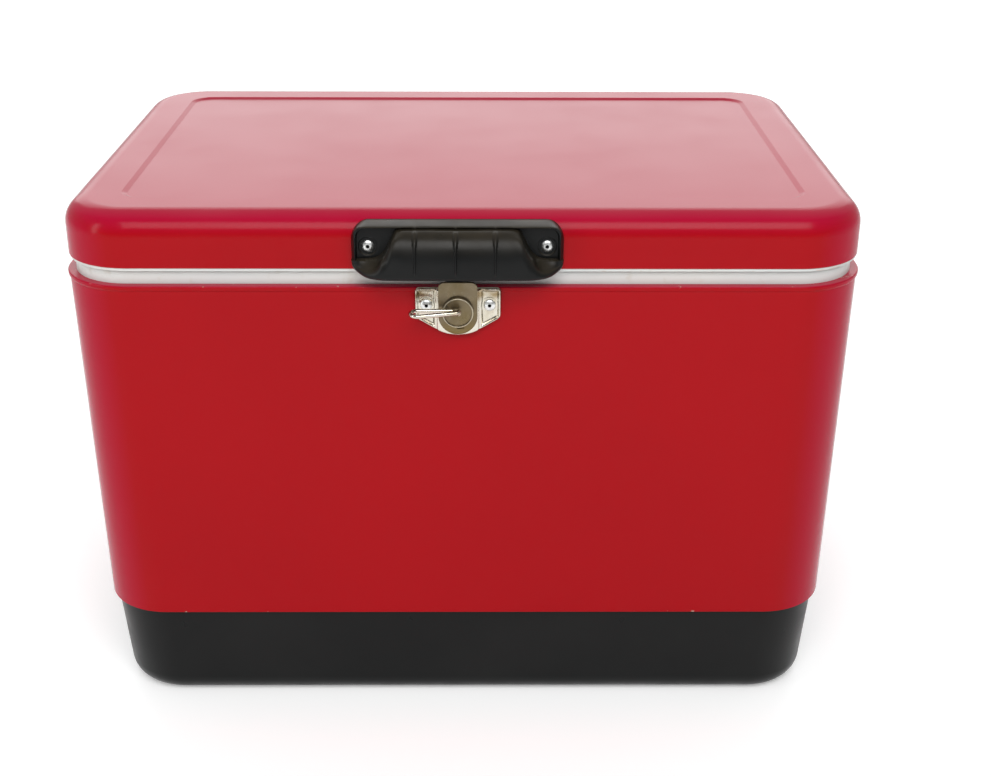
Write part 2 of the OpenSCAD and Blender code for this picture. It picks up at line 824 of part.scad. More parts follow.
// everything in front of the lid's front profile
module lid_keep_out() {
    arc = [for (step = [0:9]) 10 * step];
    front_profile(2 * handle_w, concat(
        [[lid_face + 0.1, skirt_z - 10]], [for (a = arc) lid_front(a, 0.1)],
        [[lid_face - edge_r, lid_top + 20], [lid_face + 60, lid_top + 20],
         [lid_face + 60, skirt_z - 10]]));
}

module handle_rivets() color("#c8c8c4") {
    for (side = [-1, 1])
        front_rivet(front_x + side * handle_rivet_pitch / 2, handle_rivet_z,
                    lid_face + pocket_floor, 11);
}

module latch_strike() color("#9a9482") {
    top = strike_rivet_z + 6;
    foot = latch_z - strike_foot;
    difference() {
        translate([front_x, 0, 0]) difference() {
            front_profile(strike_w, [
                [lid_face, top], [lid_face, skirt_z + 0.5], [strike_in, lip_z - 1.5], [strike_in, foot],
                [strike_out, foot], [strike_out, lip_z - 1], [lid_face + strike_t, skirt_z + 1],
                [lid_face + strike_t, top]]);
            front_plate(strike_in - 1, strike_out + 1)
                translate([-slot_w / 2, foot - 1]) square([slot_w, strike_foot + 1]);
            front_rod(0, latch_z, keyhole_r, strike_in - 1, strike_out + 1);
        }
        lid_rivet_holes(rivet_r + run_fit, 1);
    }
}

module strike_rivets() color("#c8c8c4") {
    for (side = [-1, 1])
        front_rivet(front_x + side * strike_rivet_pitch / 2, strike_rivet_z,
                    lid_face + strike_t, 9);
}

// ---------- hinges ----------

// three knuckles share the pin: the outer two belong to the body, the middle one to the lid
module knuckle(x, length) {
    translate([x, hinge_y, hinge_z]) rotate([0, 90, 0]) difference() {
        cylinder(h = length, r = knuckle_r, center = true);
        cylinder(h = length + 1, r = hinge_pin_r + run_fit, center = true);
    }
}

module hinge_body_leaf(side) color("#b4b4b0") {
    jog = bead_face + 0.1;
    join = hinge_z - knuckle_r + 0.6;
    difference() {
        translate([side * hinge_x, 0, 0]) {
            back_profile(hinge_w, [
                [wall_face, belt_top - leaf_reach], [wall_face, belt_top - bead_h - 2],
                [jog, belt_top - bead_h - 1], [jog, belt_top + 1],
                [jog + leaf_t, belt_top + 1], [jog + leaf_t, belt_top - bead_h - 1.5],
                [wall_face + leaf_t, belt_top - bead_h - 2.5], [wall_face + leaf_t, belt_top - leaf_reach]]);
            for (end = [-1, 1]) translate([end * knuckle_len, 0, 0]) {
                difference() {
                    back_profile(knuckle_len - knuckle_gap, [
                        [jog, belt_top + 0.9], [hinge_y - 1.5, join], [hinge_y + 1, join],
                        [jog + leaf_t, belt_top + 0.9]]);
                    translate([0, hinge_y, hinge_z]) rotate([0, 90, 0])
                        cylinder(h = hinge_w, r = knuckle_r - 0.5, center = true);
                }
                knuckle(0, knuckle_len - knuckle_gap);
            }
        }
        belt_rivet_holes(rivet_r + run_fit, 1);
    }
}

module hinge_lid_leaf(side) color("#b4b4b0") {
    join = hinge_z + knuckle_r - 0.6;
    low = hinge_z + knuckle_r + 1.5;
    difference() {
        translate([side * hinge_x, 0, 0]) {
            back_profile(hinge_w, [
                [lid_face, skirt_z], [lid_face, lid_leaf_rivet_z + 8],
                [lid_face + leaf_t, lid_leaf_rivet_z + 8], [lid_face + leaf_t, skirt_z]]);
            difference() {
                back_profile(knuckle_len - knuckle_gap, [
                    [lid_face + leaf_t - 0.4, low + 3.4], [lid_face + leaf_t, low + 3.8],
                    [hinge_y + 1, join], [hinge_y - 2, join], [lid_face + leaf_t - 0.4, low + 1]]);
                translate([0, hinge_y, hinge_z]) rotate([0, 90, 0])
                    cylinder(h = hinge_w, r = knuckle_r - 0.5, center = true);
            }
            knuckle(0, knuckle_len - knuckle_gap);
        }
        lid_rivet_holes(rivet_r + run_fit, 1);
    }
}

module hinge_pin(side) color("#8c8c88") {
    translate([side * hinge_x, hinge_y, hinge_z]) rotate([0, 90, 0]) {
        cylinder(h = hinge_w, r = hinge_pin_r, center = true);
        for (end = [-1, 1])
            translate([0, 0, end * (hinge_w / 2 + 0.5)]) cylinder(h = 1, r = hinge_pin_r + 1, center = true);
    }
}

module hinge_body_rivets() color("#c8c8c4") {
    for (hinge = [-1, 1], side = [-1, 1])
        back_rivet(hinge * hinge_x + side * leaf_rivet_x, body_leaf_rivet_z, wall_face + leaf_t, 9);
}

module hinge_lid_rivets() color("#c8c8c4") {
    for (hinge = [-1, 1], side = [-1, 1])
        back_rivet(hinge * hinge_x + side * leaf_rivet_x, lid_leaf_rivet_z, lid_face + leaf_t, 9);
}

// ---------- side handles ----------

// where a bracket's plate touches the sloping wall
function bracket_wall() = belt_w(pivot_z + bracket_rivet_dz + 7) / 2;

module bracket(side, end) color("#b4b4b0") {
    y = end * leg_pitch / 2;
    hh = bracket_rivet_dz + 7;
    wall = bracket_wall();
    difference() {
        union() {
            translate([side * (wall + bracket_t / 2), y, pivot_z])
                cube([bracket_t, 2 * bracket_hw, 2 * hh], center = true);
            translate([side * (wall + pivot_x) / 2, y, pivot_z])
                cube([pivot_x - wall, bracket_len, 2 * (rod_r + eye_wall) - 4], center = true);
            translate([side * pivot_x, y, pivot_z]) rotate([90, 0, 0])
                cylinder(h = bracket_len, r = rod_r + eye_wall, center = true);
        }
        translate([side * pivot_x, y, pivot_z]) rotate([90, 0, 0])
            cylinder(h = bracket_len + 2, r = rod_r + run_fit, center = true);
        for (dz = [-1, 1])
            translate([side * wall, y, pivot_z + dz * bracket_rivet_dz]) rotate([0, 90, 0])
                cylinder(h = 10, r = rivet_r + run_fit, center = true);
    }
}

module bracket_rivets() color("#c8c8c4") {
    wall = bracket_wall();
    for (side = [-1, 1], y = [-1, 1], dz = [-1, 1])
        side_rivet(side, y * leg_pitch / 2, pivot_z + dz * bracket_rivet_dz, wall + bracket_t, 9);
}

// a U of round rod: its ends turn outwards into the bracket eyes, and it hangs from them
module side_bail(side) color("#b8b8b6") {
    bend = 12;
    leg_y = leg_pitch / 2 - bracket_len / 2 - journal - rod_r;
    translate([side * pivot_x, 0, 0]) {
        for (end = [-1, 1]) {
            translate([0, end * (leg_y + rod_r), pivot_z]) rotate([end * -90, 0, 0])
                cylinder(h = bracket_len + journal + 1, r = rod_r);
            translate([0, end * leg_y, pivot_z]) sphere(r = rod_r);
            translate([0, end * leg_y, pivot_z]) rotate([end * -90, 0, 0])
                cylinder(h = rod_r + 0.5, r = rod_r);
            translate([0, end * leg_y, grip_z + bend]) cylinder(h = leg_len - bend, r = rod_r);
            translate([0, end * (leg_y - bend), grip_z + bend]) rotate([0, 90, 0])
                rotate([0, 0, end > 0 ? 0 : -90]) rotate_extrude(angle = 90)
                translate([bend, 0]) circle(r = rod_r);
        }
        translate([0, 0, grip_z]) rotate([90, 0, 0])
            cylinder(h = 2 * (leg_y - bend), r = rod_r, center = true);
    }
}

module side_grip(side) color("#232523") {
    leg_y = leg_pitch / 2 - bracket_len / 2 - journal - rod_r;
    length = min(side_grip_len, 2 * (leg_y - 12) - 1);
    translate([side * pivot_x, 0, grip_z]) rotate([90, 0, 0]) difference() {
        union() {
            cylinder(h = length, r = side_grip_r - 1, center = true);
            for (step = [-3:3]) translate([0, 0, step * length / 8])
                cylinder(h = 6, r = side_grip_r, center = true);
        }
        cylinder(h = length + 2, r = rod_r + run_fit / 2, center = true);
    }
}

base_tray();
body_shell();
body_foam();
inner_liner();
latch_plate();
latch_cover();
latch_rivets();
latch_disc();
latch_spindle();
latch_cam();
spring_washer();
bail_pin();
latch_bail();
lid_shell();
lid_foam();
lid_liner();
lid_seal();
lid_handle();
handle_rivets();
latch_strike();
strike_rivets();
hinge_body_leaf(-1);  // hinge_body_leaf_left
hinge_body_leaf(1);  // hinge_body_leaf_right
hinge_lid_leaf(-1);  // hinge_lid_leaf_left
hinge_lid_leaf(1);  // hinge_lid_leaf_right
hinge_pin(-1);  // hinge_pin_left
hinge_pin(1);  // hinge_pin_right
hinge_body_rivets();
hinge_lid_rivets();
bracket(-1, -1);  // bracket_left_front
bracket(-1, 1);  // bracket_left_back
bracket(1, -1);  // bracket_right_front
bracket(1, 1);  // bracket_right_back
bracket_rivets();
side_bail(-1);  // side_bail_left
side_grip(-1);  // side_grip_left
side_bail(1);  // side_bail_right
side_grip(1);  // side_grip_right
drain_spout();
drain_nut();
drain_plug();
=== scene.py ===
# Steel-belted picnic cooler chest: its looks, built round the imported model.
# Metres. +X to the right, -Y to the front, +Z up. The origin is on the floor, under the middle.
import math

import bmesh
import bpy
from mathutils import Matrix, Vector


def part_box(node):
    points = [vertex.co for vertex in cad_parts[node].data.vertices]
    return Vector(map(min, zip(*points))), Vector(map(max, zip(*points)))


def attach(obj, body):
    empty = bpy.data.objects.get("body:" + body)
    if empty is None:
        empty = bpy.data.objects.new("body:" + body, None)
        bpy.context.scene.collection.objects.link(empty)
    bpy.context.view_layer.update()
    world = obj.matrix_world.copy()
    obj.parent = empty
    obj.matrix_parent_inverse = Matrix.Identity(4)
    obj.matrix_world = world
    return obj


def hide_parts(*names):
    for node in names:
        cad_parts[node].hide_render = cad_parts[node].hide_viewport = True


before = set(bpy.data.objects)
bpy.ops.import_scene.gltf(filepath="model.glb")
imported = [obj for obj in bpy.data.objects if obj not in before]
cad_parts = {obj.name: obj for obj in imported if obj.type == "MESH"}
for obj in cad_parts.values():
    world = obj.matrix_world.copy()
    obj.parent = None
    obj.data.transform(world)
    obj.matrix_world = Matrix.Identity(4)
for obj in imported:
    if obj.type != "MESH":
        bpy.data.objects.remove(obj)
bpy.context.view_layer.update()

# ---------- base tray ----------
# The black tray that the chest stands in. Moulded plastic with a fine leathery grain, a round
# bottom edge, and a lip on top that the steel belt is slipped over and stopped by.


def as_piece(name, mesh, sharp=38):
    """An object of that mesh, smooth but for the edges that turn by more than sharp degrees."""
    work = bmesh.new()
    work.from_mesh(mesh)
    for face in work.faces:
        face.smooth = True
    for edge in work.edges:
        edge.smooth = len(edge.link_faces) == 2 and edge.calc_face_angle() < math.radians(sharp)
    work.to_mesh(mesh)
    work.free()
    piece = bpy.data.objects.new(name, mesh)
    bpy.context.scene.collection.objects.link(piece)
    return piece


def outline(half_x, half_y, radius, z, steps=18):
    """A rectangle with round corners at height z, anticlockwise, with a point close beside each bend."""
    beside = 0.0006
    ring = []
    for corner in range(4):
        middle_x = (half_x - radius) * (1 if corner in (0, 3) else -1)
        middle_y = (half_y - radius) * (1 if corner < 2 else -1)
        for step in range(-1, steps + 2):
            angle = math.pi / 2 * (corner + min(max(step, 0), steps) / steps)
            past = beside * (min(step, 0) + max(step - steps, 0))
            ring.append((middle_x + radius * math.cos(angle) - past * math.sin(angle),
                         middle_y + radius * math.sin(angle) + past * math.cos(angle), z))
    return ring


def skin(name, rings):
    """A closed solid through rings of points. Its first end faces down and its last end faces up."""
    count = len(rings[0])
    last = (len(rings) - 1) * count
    faces = [list(reversed(range(count))), [last + i for i in range(count)]]
    for k in range(len(rings) - 1):
        for i in range(count):
            j = (i + 1) % count
            faces.append([k * count + i, k * count + j, (k + 1) * count + j, (k + 1) * count + i])
    mesh = bpy.data.meshes.new(name)
    mesh.from_pydata([point for ring in rings for point in ring], [], faces)
    return as_piece(name, mesh)


def rounded(corners, steps=6):
    """A line through (across, up, radius) corners, each corner rounded to its radius."""
    line = []
    for k, (across, up, radius) in enumerate(corners):
        corner = Vector((across, up))
        if radius == 0:
            line.append(corner)
            continue
        back = (Vector(corners[k - 1][:2]) - corner).normalized()
        ahead = (Vector(corners[k + 1][:2]) - corner).normalized()
        half = back.angle(ahead) / 2
        reach = radius / math.tan(half)
        middle = corner + (back + ahead).normalized() * radius / math.sin(half)
        first = corner + back * reach - middle
        sweep = first.angle_signed(corner + ahead * reach - middle)
        line.append(middle + first + back * 0.0004)
        for step in range(steps + 1):
            turn = -sweep * step / steps
            line.append(middle + Vector((first.x * math.cos(turn) - first.y * math.sin(turn),
                                         first.x * math.sin(turn) + first.y * math.cos(turn))))
        line.append(corner + ahead * (reach + 0.0004))
    return line


def bored(piece, centre, radius, length):
    """The piece with a round hole through it, along X."""
    bpy.ops.mesh.primitive_cylinder_add(vertices=64, radius=radius, depth=length, location=centre,
                                        rotation=(0, math.pi / 2, 0))
    drill = bpy.context.active_object
    cut = piece.modifiers.new("hole", "BOOLEAN")
    cut.operation = "DIFFERENCE"
    cut.solver = "EXACT"
    cut.object = drill
    view = bpy.context.evaluated_depsgraph_get()
    mesh = bpy.data.meshes.new_from_object(piece.evaluated_get(view), depsgraph=view)
    name = piece.name
    bpy.data.objects.remove(piece)
    bpy.data.objects.remove(drill)
    return as_piece(name, mesh)


def new_material(name, colour, roughness, metallic=0.0, specular=0.5):
    """A material with one shader: colour as red, green and blue light, from 0 to 1."""
    material = bpy.data.materials.new(name)
    material.use_nodes = True
    shader = material.node_tree.nodes["Principled BSDF"]
    shader.inputs["Base Color"].default_value = (*colour, 1)
    shader.inputs["Roughness"].default_value = roughness
    shader.inputs["Metallic"].default_value = metallic
    shader.inputs["Specular IOR Level"].default_value = specular
    return material


def join(material, output, target):
    material.node_tree.links.new(output, target)


def position(material):
    """Where each point of the surface is, in metres."""
    nodes = material.node_tree.nodes
    place = nodes.get("place") or nodes.new("ShaderNodeTexCoord")
    place.name = "place"
    return place.outputs["Object"]


def noise(material, scale, detail=3.0, stretch=(1, 1, 1)):
    """A cloudy field from about 0.3 to 0.7, with scale clouds to a metre."""
    nodes = material.node_tree.nodes
    spread_out = nodes.new("ShaderNodeMapping")
    spread_out.inputs["Scale"].default_value = stretch
    join(material, position(material), spread_out.inputs["Vector"])
    cloud = nodes.new("ShaderNodeTexNoise")
    cloud.inputs["Scale"].default_value = scale
    cloud.inputs["Detail"].default_value = detail
    join(material, spread_out.outputs["Vector"], cloud.inputs["Vector"])
    return cloud.outputs["Fac"]


def cells(material, scale, feature="F1"):
    """Distances in a field of random cells, scale of them to a metre."""
    cell = material.node_tree.nodes.new("ShaderNodeTexVoronoi")
    cell.feature = feature
    cell.inputs["Scale"].default_value = scale
    join(material, position(material), cell.inputs["Vector"])
    return cell.outputs["Distance"]


def ranged(material, value, low, high, to_low=0.0, to_high=1.0):
    """value, taken from the range low to high to another range, and held there."""
    change = material.node_tree.nodes.new("ShaderNodeMapRange")
    change.inputs["From Min"].default_value = low
    change.inputs["From Max"].default_value = high
    change.inputs["To Min"].default_value = to_low
    change.inputs["To Max"].default_value = to_high
    join(material, value, change.inputs["Value"])
    return change.outputs["Result"]


def maths_in(tree, operation, first, second):
    """One sum of two values in a node tree. Each is a number or another node's output."""
    made = tree.nodes.new("ShaderNodeMath")
    made.operation = operation
    for socket, value in zip(made.inputs, (first, second)):
        if isinstance(value, (int, float)):
            socket.default_value = value
        else:
            tree.links.new(value, socket)
    return made.outputs["Value"]


def maths(material, operation, first, second):
    return maths_in(material.node_tree, operation, first, second)


def height_of(material, axis):
    """One coordinate of the surface, in metres."""
    split = material.node_tree.nodes.new("ShaderNodeSeparateXYZ")
    join(material, position(material), split.inputs["Vector"])
    return split.outputs[axis]


def facing(material, axis):
    """How far the surface faces along an axis, from -1 to 1."""
    split = material.node_tree.nodes.new("ShaderNodeSeparateXYZ")
    surface = material.node_tree.nodes.new("ShaderNodeNewGeometry")
    join(material, surface.outputs["Normal"], split.inputs["Vector"])
    return split.outputs[axis]


def tinted(material, amount, colour):
    """Lays a colour over the material's own, by an amount from 0 to 1."""
    nodes = material.node_tree.nodes
    base = nodes["Principled BSDF"].inputs["Base Color"]
    mix = nodes.new("ShaderNodeMix")
    mix.data_type = "RGBA"
    if base.is_linked:
        join(material, base.links[0].from_socket, mix.inputs[6])
    else:
        mix.inputs[6].default_value = base.default_value
    mix.inputs[7].default_value = (*colour, 1)
    join(material, amount, mix.inputs[0])
    join(material, mix.outputs[2], base)


def dulled(material, amount):
    """Sets the material's roughness from a field."""
    join(material, amount, material.node_tree.nodes["Principled BSDF"].inputs["Roughness"])


def raised(material, height, distance, strength=1.0):
    """Adds small relief: height from 0 to 1, over that distance in metres."""
    nodes = material.node_tree.nodes
    normal = nodes["Principled BSDF"].inputs["Normal"]
    bump = nodes.new("ShaderNodeBump")
    bump.inputs["Distance"].default_value = distance
    bump.inputs["Strength"].default_value = strength
    if normal.is_linked:
        join(material, normal.links[0].from_socket, bump.inputs["Normal"])
    join(material, height, bump.inputs["Height"])
    join(material, bump.outputs["Normal"], normal)


def fit(piece, material, body, finish, *nodes):
    """Gives a finished piece its material, the body it rides on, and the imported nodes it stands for."""
    piece.data.materials.clear()
    piece.data.materials.append(material)
    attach(piece, body)
    if nodes:
        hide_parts(*nodes)


def coated(names, material):
    """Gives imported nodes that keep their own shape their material."""
    for name in names:
        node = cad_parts[name]
        node.data.materials.clear()
        node.data.materials.append(material)


black_plastic = new_material("black_moulded_plastic", (0.0050, 0.0054, 0.0054), 0.4, specular=0.15)
tinted(black_plastic, ranged(black_plastic, noise(black_plastic, 9, 4), 0.4, 0.7, 0, 0.35),
       (0.012, 0.012, 0.0115))
# Upward-facing surfaces get a patchy lighter brown: painted sheen of the light from above.
tinted(black_plastic, maths(black_plastic, "MULTIPLY",
                            ranged(black_plastic, facing(black_plastic, "Z"), 0.15, 0.9),
                            ranged(black_plastic, noise(black_plastic, 60, 5), 0.35, 0.7, 0.5, 0.8)),
       (0.034, 0.027, 0.017))
dulled(black_plastic, ranged(black_plastic, noise(black_plastic, 35, 4), 0.3, 0.7, 0.27, 0.42))
raised(black_plastic, noise(black_plastic, 1500, 2), 0.00008, 0.35)

belt_low, belt_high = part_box("body_shell")
bead_out = 0.0012
belt_x = belt_high.x - bead_out
belt_y = belt_high.y - bead_out
belt_corner = 0.0548
belt_taper = 0.0043
tray_step = 0.0042
tray_draft = 0.0059
spout_low, spout_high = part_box("drain_spout")
drain = Vector(((spout_low.x + spout_high.x) / 2, (spout_low.y + spout_high.y) / 2,
                (spout_low.z + spout_high.z) / 2))
spout_r = 0.009
bore_length = 0.03


def tray_ring(inset, z):
    drawn_in = belt_taper + tray_step + tray_draft * max(belt_low.z - z, 0) / belt_low.z + inset
    return outline(belt_x - drawn_in, belt_y - drawn_in, belt_corner - tray_step - inset - 0.0008, z)


tray_profile = rounded([
    (0.032, 0, 0), (0, 0, 0.0176), (0, belt_low.z, 0.0008), (-0.0034, belt_low.z, 0),
    (-0.0034, belt_low.z + 0.0098, 0.0005), (-0.0004, belt_low.z + 0.0098, 0),
    (-0.0004, belt_low.z + 0.0025, 0), (0.003, belt_low.z + 0.0005, 0), (0.003, 0.003, 0.0146),
    (0.032, 0.003, 0)], steps=8)
tray = skin("moulded_base_tray", [tray_ring(inset, z) for inset, z in tray_profile])
tray = bored(tray, (belt_x - 0.01, drain.y, drain.z), spout_r, bore_length)
fit(tray, black_plastic, "chest", "black_moulding", "base_tray")

# ---------- steel belt ----------
# One strip of enamelled sheet steel, bent round four corners and closed at the back. Its walls draw
# in a little towards the tray. The top edge is rolled out into a bead and folded in as a ledge.


def geometry_tree(name, sockets):
    """An empty geometry tree with those inputs, and its input and output nodes."""
    tree = bpy.data.node_groups.new(name, "GeometryNodeTree")
    tree.interface.new_socket("Geometry", in_out="INPUT", socket_type="NodeSocketGeometry")
    for label, kind in sockets:
        tree.interface.new_socket(label, in_out="INPUT", socket_type="NodeSocket" + kind)
    tree.interface.new_socket("Geometry", in_out="OUTPUT", socket_type="NodeSocketGeometry")
    return tree, tree.nodes.new("NodeGroupInput"), tree.nodes.new("NodeGroupOutput")


def finished_tree(tree, given, result, geometry):
    """Ends a geometry tree: copies made real, and the finish laid on."""
    real = tree.nodes.new("GeometryNodeRealizeInstances")
    tree.links.new(geometry, real.inputs["Geometry"])
    paint = tree.nodes.new("GeometryNodeSetMaterial")
    tree.links.new(real.outputs["Geometry"], paint.inputs["Geometry"])
    tree.links.new(given.outputs["Finish"], paint.inputs["Material"])
    tree.links.new(paint.outputs["Geometry"], result.inputs["Geometry"])
    return tree


def grown(name, host_mesh, tree, values):
    """Runs a geometry tree on a mesh with those input values, and keeps the result as a plain piece."""
    host = bpy.data.objects.new(name + "_host", host_mesh)
    bpy.context.scene.collection.objects.link(host)
    grow = host.modifiers.new("grow", "NODES")
    grow.node_group = tree
    for item in tree.interface.items_tree:
        if item.in_out == "INPUT" and item.name in values:
            grow[item.identifier] = values[item.name]
    view = bpy.context.evaluated_depsgraph_get()
    mesh = bpy.data.meshes.new_from_object(host.evaluated_get(view), depsgraph=view)
    bpy.data.objects.remove(host)
    return as_piece(name, mesh)


def profile_loop(name, points):
    """A closed line of (out, up) points, ready to be swept: its second axis is laid down."""
    mesh = bpy.data.meshes.new(name)
    edges = [(i, (i + 1) % len(points)) for i in range(len(points))]
    mesh.from_pydata([(out, -up, 0) for out, up in points], edges, [])
    return mesh


def swept_tree():
    """Sweeps the host's line round a rectangle with round corners, and draws it in towards the bottom."""
    tree, given, result = geometry_tree("swept_round", [
        ("Width", "Float"), ("Depth", "Float"), ("Corner", "Float"), ("Bend steps", "Int"),
        ("Top", "Float"), ("Taper", "Float"), ("Finish", "Material")])
    nodes = tree.nodes
    link = tree.links.new
    path = nodes.new("GeometryNodeCurvePrimitiveQuadrilateral")
    link(given.outputs["Width"], path.inputs["Width"])
    link(given.outputs["Depth"], path.inputs["Height"])
    bend = nodes.new("GeometryNodeFilletCurve")
    bend.mode = "POLY"
    link(path.outputs["Curve"], bend.inputs["Curve"])
    link(given.outputs["Bend steps"], bend.inputs["Count"])
    link(given.outputs["Corner"], bend.inputs["Radius"])
    line = nodes.new("GeometryNodeMeshToCurve")
    link(given.outputs["Geometry"], line.inputs["Mesh"])
    sweep = nodes.new("GeometryNodeCurveToMesh")
    link(bend.outputs["Curve"], sweep.inputs["Curve"])
    link(line.outputs["Curve"], sweep.inputs["Profile Curve"])
    where = nodes.new("GeometryNodeInputPosition")
    split = nodes.new("ShaderNodeSeparateXYZ")
    link(where.outputs["Position"], split.inputs["Vector"])
    below = maths_in(tree, "SUBTRACT", given.outputs["Top"], split.outputs["Z"])
    drawn = maths_in(tree, "MULTIPLY", below, given.outputs["Taper"])
    shift = nodes.new("ShaderNodeCombineXYZ")
    for axis in "XY":
        side = maths_in(tree, "SIGN", split.outputs[axis], 0.0)
        out = maths_in(tree, "MULTIPLY", maths_in(tree, "MULTIPLY", side, drawn), -1)
        link(out, shift.inputs[axis])
    move = nodes.new("GeometryNodeSetPosition")
    link(sweep.outputs["Mesh"], move.inputs["Geometry"])
    link(shift.outputs["Vector"], move.inputs["Offset"])
    return finished_tree(tree, given, result, move.outputs["Geometry"])


red_enamel = new_material("red_enamel", (0.320, 0.0022, 0.0055), 0.2, specular=0.1)
tinted(red_enamel, ranged(red_enamel, noise(red_enamel, 5, 3), 0.35, 0.7, 0, 0.5),
       (0.29, 0.002, 0.0052))
# Faces turned to the sides or upwards are tinted magenta: painted sheen, the light's colour cast on the
# enamel.
turned = maths(red_enamel, "MAXIMUM",
               ranged(red_enamel, maths(red_enamel, "ABSOLUTE", facing(red_enamel, "X"), 0.0), 0.25, 1),
               ranged(red_enamel, facing(red_enamel, "Z"), 0.1, 0.8, 0, 0.8))
tinted(red_enamel, turned, (0.37, 0.003, 0.034))
dust = maths(red_enamel, "MULTIPLY", ranged(red_enamel, facing(red_enamel, "Z"), 0.7, 1.0),
             ranged(red_enamel, noise(red_enamel, 7, 3), 0.35, 0.72, 0.02, 0.06))
tinted(red_enamel, dust, (0.62, 0.5, 0.48))
belt_edge = maths(red_enamel, "MAXIMUM",
                  ranged(red_enamel, height_of(red_enamel, "Z"), belt_low.z + 0.0016, belt_low.z),
                  ranged(red_enamel, maths(red_enamel, "ABSOLUTE", maths(
                      red_enamel, "SUBTRACT", height_of(red_enamel, "Z"), belt_high.z), 0.0),
                      0.0012, 0.0))
chips = maths(red_enamel, "MULTIPLY", belt_edge,
              ranged(red_enamel, noise(red_enamel, 130, 4), 0.67, 0.7))
tinted(red_enamel, chips, (0.4, 0.3, 0.24))
dulled(red_enamel, ranged(red_enamel, noise(red_enamel, 14, 2), 0.3, 0.72, 0.17, 0.26))
raised(red_enamel, noise(red_enamel, 420, 1), 0.00004, 0.3)
raised(red_enamel, noise(red_enamel, 11, 1), 0.0010, 0.2)

sheet = 0.0006
belt_line = rounded([
    (-sheet, belt_low.z, 0), (0, belt_low.z, 0), (0, belt_high.z - 0.0046, 0.001),
    (bead_out, belt_high.z - 0.0032, 0.0008), (bead_out, belt_high.z, 0.0011),
    (-0.0054, belt_high.z, 0), (-0.0054, belt_high.z - sheet, 0),
    (-sheet, belt_high.z - sheet, 0)], steps=4)
round_sweep = swept_tree()
belt = grown("steel_belt", profile_loop("belt_line", belt_line), round_sweep, {
    "Width": 2 * belt_x, "Depth": 2 * belt_y, "Corner": belt_corner, "Bend steps": 30,
    "Top": belt_high.z, "Taper": belt_taper / (belt_high.z - belt_low.z), "Finish": red_enamel})
fit(belt, red_enamel, "chest", "red_paint", "body_shell")

# ---------- foam ----------
# Cream polyurethane poured between the steel and the liners, closed in on all sides.

foam = new_material("cream_foam", (0.7, 0.58, 0.33), 0.9, specular=0.2)
tinted(foam, ranged(foam, noise(foam, 40, 4), 0.4, 0.7, 0, 0.5), (0.78, 0.68, 0.45))
raised(foam, cells(foam, 900), 0.0006, 0.6)
coated(["body_foam", "lid_foam"], foam)

# ---------- inner liner ----------
# The white tub that holds the ice. Vacuum-formed plastic: its rim laps over the belt's ledge, every
# edge is soft, and the walls draw in towards a flat floor.

liner_low, liner_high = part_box("inner_liner")
lip_z = liner_high.z + 0.0004
white_plastic = new_material("white_moulded_plastic", (0.565, 0.58, 0.57), 0.38, specular=0.4)
tinted(white_plastic, ranged(white_plastic, noise(white_plastic, 6, 4), 0.4, 0.75, 0, 0.4),
       (0.66, 0.64, 0.57))
tinted(white_plastic, ranged(white_plastic, noise(white_plastic, 90, 6), 0.6, 0.74, 0, 0.35),
       (0.45, 0.41, 0.33))
seam = maths(white_plastic, "MULTIPLY",
             ranged(white_plastic, height_of(white_plastic, "Z"), lip_z - 0.0012, lip_z - 0.0002),
             ranged(white_plastic, height_of(white_plastic, "Z"), lip_z + 0.0014, lip_z + 0.0004))
rust = maths(white_plastic, "MULTIPLY", seam,
             ranged(white_plastic, noise(white_plastic, 55, 5), 0.55, 0.64, 0, 0.8))
rust = maths(white_plastic, "MULTIPLY", rust,
             ranged(white_plastic, height_of(white_plastic, "X"), 0.02, 0.14, 0.1, 1))
rust = maths(white_plastic, "MULTIPLY", rust, ranged(
    white_plastic, maths(white_plastic, "ABSOLUTE", facing(white_plastic, "Z"), 0.0), 0.75, 0.35))
tinted(white_plastic, rust, (0.42, 0.2, 0.05))
dulled(white_plastic, ranged(white_plastic, noise(white_plastic, 25, 4), 0.3, 0.7, 0.3, 0.46))
raised(white_plastic, noise(white_plastic, 700, 2), 0.00006, 0.3)

rim_x = liner_high.x
rim_y = liner_high.y
rim_corner = 0.0484
cavity_top_in = 0.0404
cavity_floor_in = 0.0464
floor_z = liner_low.z + 0.003


def liner_ring(inset, z):
    depth = min(max((inset - 0.036) / 0.006, 0), 1)
    corner = max(rim_corner - inset, 0.026) * (1 - depth)
    slope = min(max((liner_high.z - z) / (liner_high.z - floor_z), 0), 1)
    corner += depth * (0.032 - 0.006 * slope - max(inset - cavity_top_in - 0.006 * slope, 0))
    return outline(rim_x - inset, rim_y - inset, max(corner, 0.004), z, steps=20)


liner_profile = rounded([
    (cavity_floor_in + 0.02, liner_low.z, 0), (cavity_floor_in - 0.003, liner_low.z, 0.006),
    (cavity_top_in - 0.003, liner_high.z - 0.003, 0), (0.003, liner_high.z - 0.003, 0),
    (0.003, belt_high.z, 0), (0, belt_high.z, 0), (0, liner_high.z, 0.0016),
    (cavity_top_in, liner_high.z, 0.003), (cavity_floor_in, floor_z, 0.012),
    (cavity_floor_in + 0.02, floor_z, 0)], steps=8)
liner = skin("white_liner", [liner_ring(inset, z) for inset, z in liner_profile])
liner = bored(liner, (rim_x - cavity_floor_in, drain.y, drain.z), spout_r, bore_length)
fit(liner, white_plastic, "chest", "white_moulding", "inner_liner")

# ---------- drain ----------
# A black spout through the right-hand wall, held by a nut inside, with a pull-out plug.

